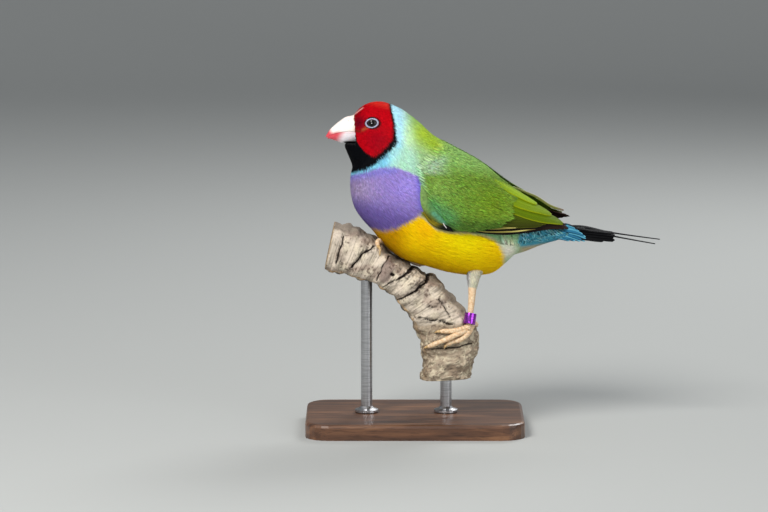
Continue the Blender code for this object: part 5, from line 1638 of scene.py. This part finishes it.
def ring_profile():
    """The wall's outline as radius and height, with four rounded corners."""
    e = RING_EDGE
    outer, inner, top = RING_OUTER - e, RING_INNER + e, RING_HALF - e
    made = []
    for r, h, start in ((outer, top, 90), (outer, -top, 0), (inner, -top, -90), (inner, top, -180)):
        turns = [math.radians(start - 22.5 * k) for k in range(5)]
        made += [(r + e * math.cos(a), h + e * math.sin(a)) for a in turns]
    return made


def spun(name, profile, steps):
    """A turned piece about the vertical, from a closed profile in millimetres."""
    work = bmesh.new()
    points = [work.verts.new((r * MM, 0, h * MM)) for r, h in profile]
    edges = [work.edges.new(pair) for pair in zip(points, points[1:] + points[:1])]
    bmesh.ops.spin(work, geom=points + edges, cent=(0, 0, 0), axis=(0, 0, 1), angle=2 * math.pi, steps=steps,
                   use_merge=True)
    bmesh.ops.remove_doubles(work, verts=work.verts, dist=1e-6)
    bmesh.ops.recalc_face_normals(work, faces=work.faces)
    return from_work(name, work)


METAL = {"Metallic": 1.0}
ANODISED = grained(
    new_finish("anodised_purple", 0.22, 0.5, METAL), {"scale": (300.0, 300.0, 4000.0), "Detail": 2.0},
    [(0.35, linear(126, 40, 158)), (0.65, linear(176, 84, 204))], (0.08, 0.03),
)
ring = spun("ring_band", ring_profile(), 72)
ring_lean = Vector((0, 0, 1)).rotation_difference(Vector(RING_AXIS).normalized()).to_matrix().to_4x4()
ring.data.transform(Matrix.Translation(Vector(RING_CENTRE) * MM) @ ring_lean)
finished(ring, ANODISED, "ring_purple", "leg_ring")

# %% [markdown]
# The display stand
# The stand is plain so that it doesn't draw the eye: a walnut block with eased edges, and two
# brushed steel rods with small flanges. The solids already have these shapes, so they only get
# finishes here.

# %% Walnut and steel
WALNUT = grained(
    new_finish("walnut_satin", 0.38, 0.45, {"Coat Weight": 0.2, "Coat Roughness": 0.2}),
    {"scale": (28.0, 260.0, 260.0), "Detail": 8.0, "Distortion": 0.6},
    [(0.3, linear(58, 36, 24)), (0.5, linear(92, 60, 40)), (0.66, linear(124, 86, 58))], (0.12, 0.05),
    pits=({"scale": (180.0, 2600.0, 2600.0), "Detail": 2.0}, [(0.36, (0.45, 0.42, 0.4)), (0.46, (1, 1, 1))]),
    bumped="pits",
)
STEEL = grained(
    new_finish("brushed_steel", 0.32, 0.5, METAL), {"scale": (200.0, 200.0, 6000.0), "Detail": 3.0},
    [(0.3, linear(150, 150, 152)), (0.7, linear(196, 196, 198))], (0.1, 0.02),
)
for node, finish in (("stand_base", WALNUT), ("stand_rod_tall", STEEL), ("stand_rod_short", STEEL)):
    thing = bpy.data.objects.get(node)
    print(node, "found" if thing else "missing")
    for place in thing.material_slots if thing else ():
        place.material = finish

# %% [markdown]
# Floor and light
# A plain pale floor that curves up behind, and soft light from the upper left, as in the
# photograph, with a weaker fill from the right and a little light from behind for the outline.

# %% Studio
PAPER_WIDTH, PAPER_FRONT, PAPER_LENGTH = 4200.0, -2200.0, 4700.0
BEND_FROM, BEND_RUN, BEND_RADIUS, WALL_RISE = 1300.0, 900.0, 600.0, 3500.0


def sweep_spot(u, v):
    """A floor that bends up into a back wall, as a photographer's paper roll does."""
    depth = PAPER_FRONT + v * PAPER_LENGTH
    bend = np.clip((depth - BEND_FROM) / BEND_RUN, 0, None)
    turn = np.minimum(bend, 1.0) * np.pi / 2
    y = np.where(depth < BEND_FROM, depth, BEND_FROM + BEND_RADIUS * np.sin(turn))
    z = BEND_RADIUS * (1 - np.cos(turn)) + np.maximum(bend - 1, 0.0) * WALL_RISE
    return np.stack([(u - 0.5) * PAPER_WIDTH, y, z], -1)


floor = drape("floor", 4, 60, sweep_spot, closed=False, ends=False)
floor.data.flip_normals()
paper = new_finish("studio_paper", 0.9, 0.1, {"Base Color": (*linear(172, 174, 172), 1.0)})[0]
floor.data.materials.append(paper)


def soft_light(name, place, size, power, colour):
    lamp = bpy.data.lights.new(name, "AREA")
    lamp.shape = "DISK"
    lamp.size = size * MM
    lamp.energy = power
    lamp.color = colour
    thing = bpy.data.objects.new(name, lamp)
    thing.location = Vector(place) * MM
    aim = Vector(VIEW_CENTRE) - Vector(place)
    thing.rotation_euler = aim.to_track_quat("-Z", "Y").to_euler()
    bpy.context.scene.collection.objects.link(thing)


soft_light("key", (-420, -620, 760), 420, 10.5, (1.0, 0.98, 0.95))
soft_light("fill", (700, -700, 260), 700, 3.0, (0.94, 0.97, 1.0))
soft_light("rim", (350, 620, 640), 420, 4.0, (1.0, 1.0, 1.0))
soft_light("glint", (-190, -900, 190), 34, 0.5, (1.0, 1.0, 1.0))

world = bpy.context.scene.world or bpy.data.worlds.new("world")
bpy.context.scene.world = world
world.use_nodes = True
background = world.node_tree.nodes["Background"].inputs
background["Color"].default_value = (*linear(226, 230, 236), 1.0)
background["Strength"].default_value = 0.46
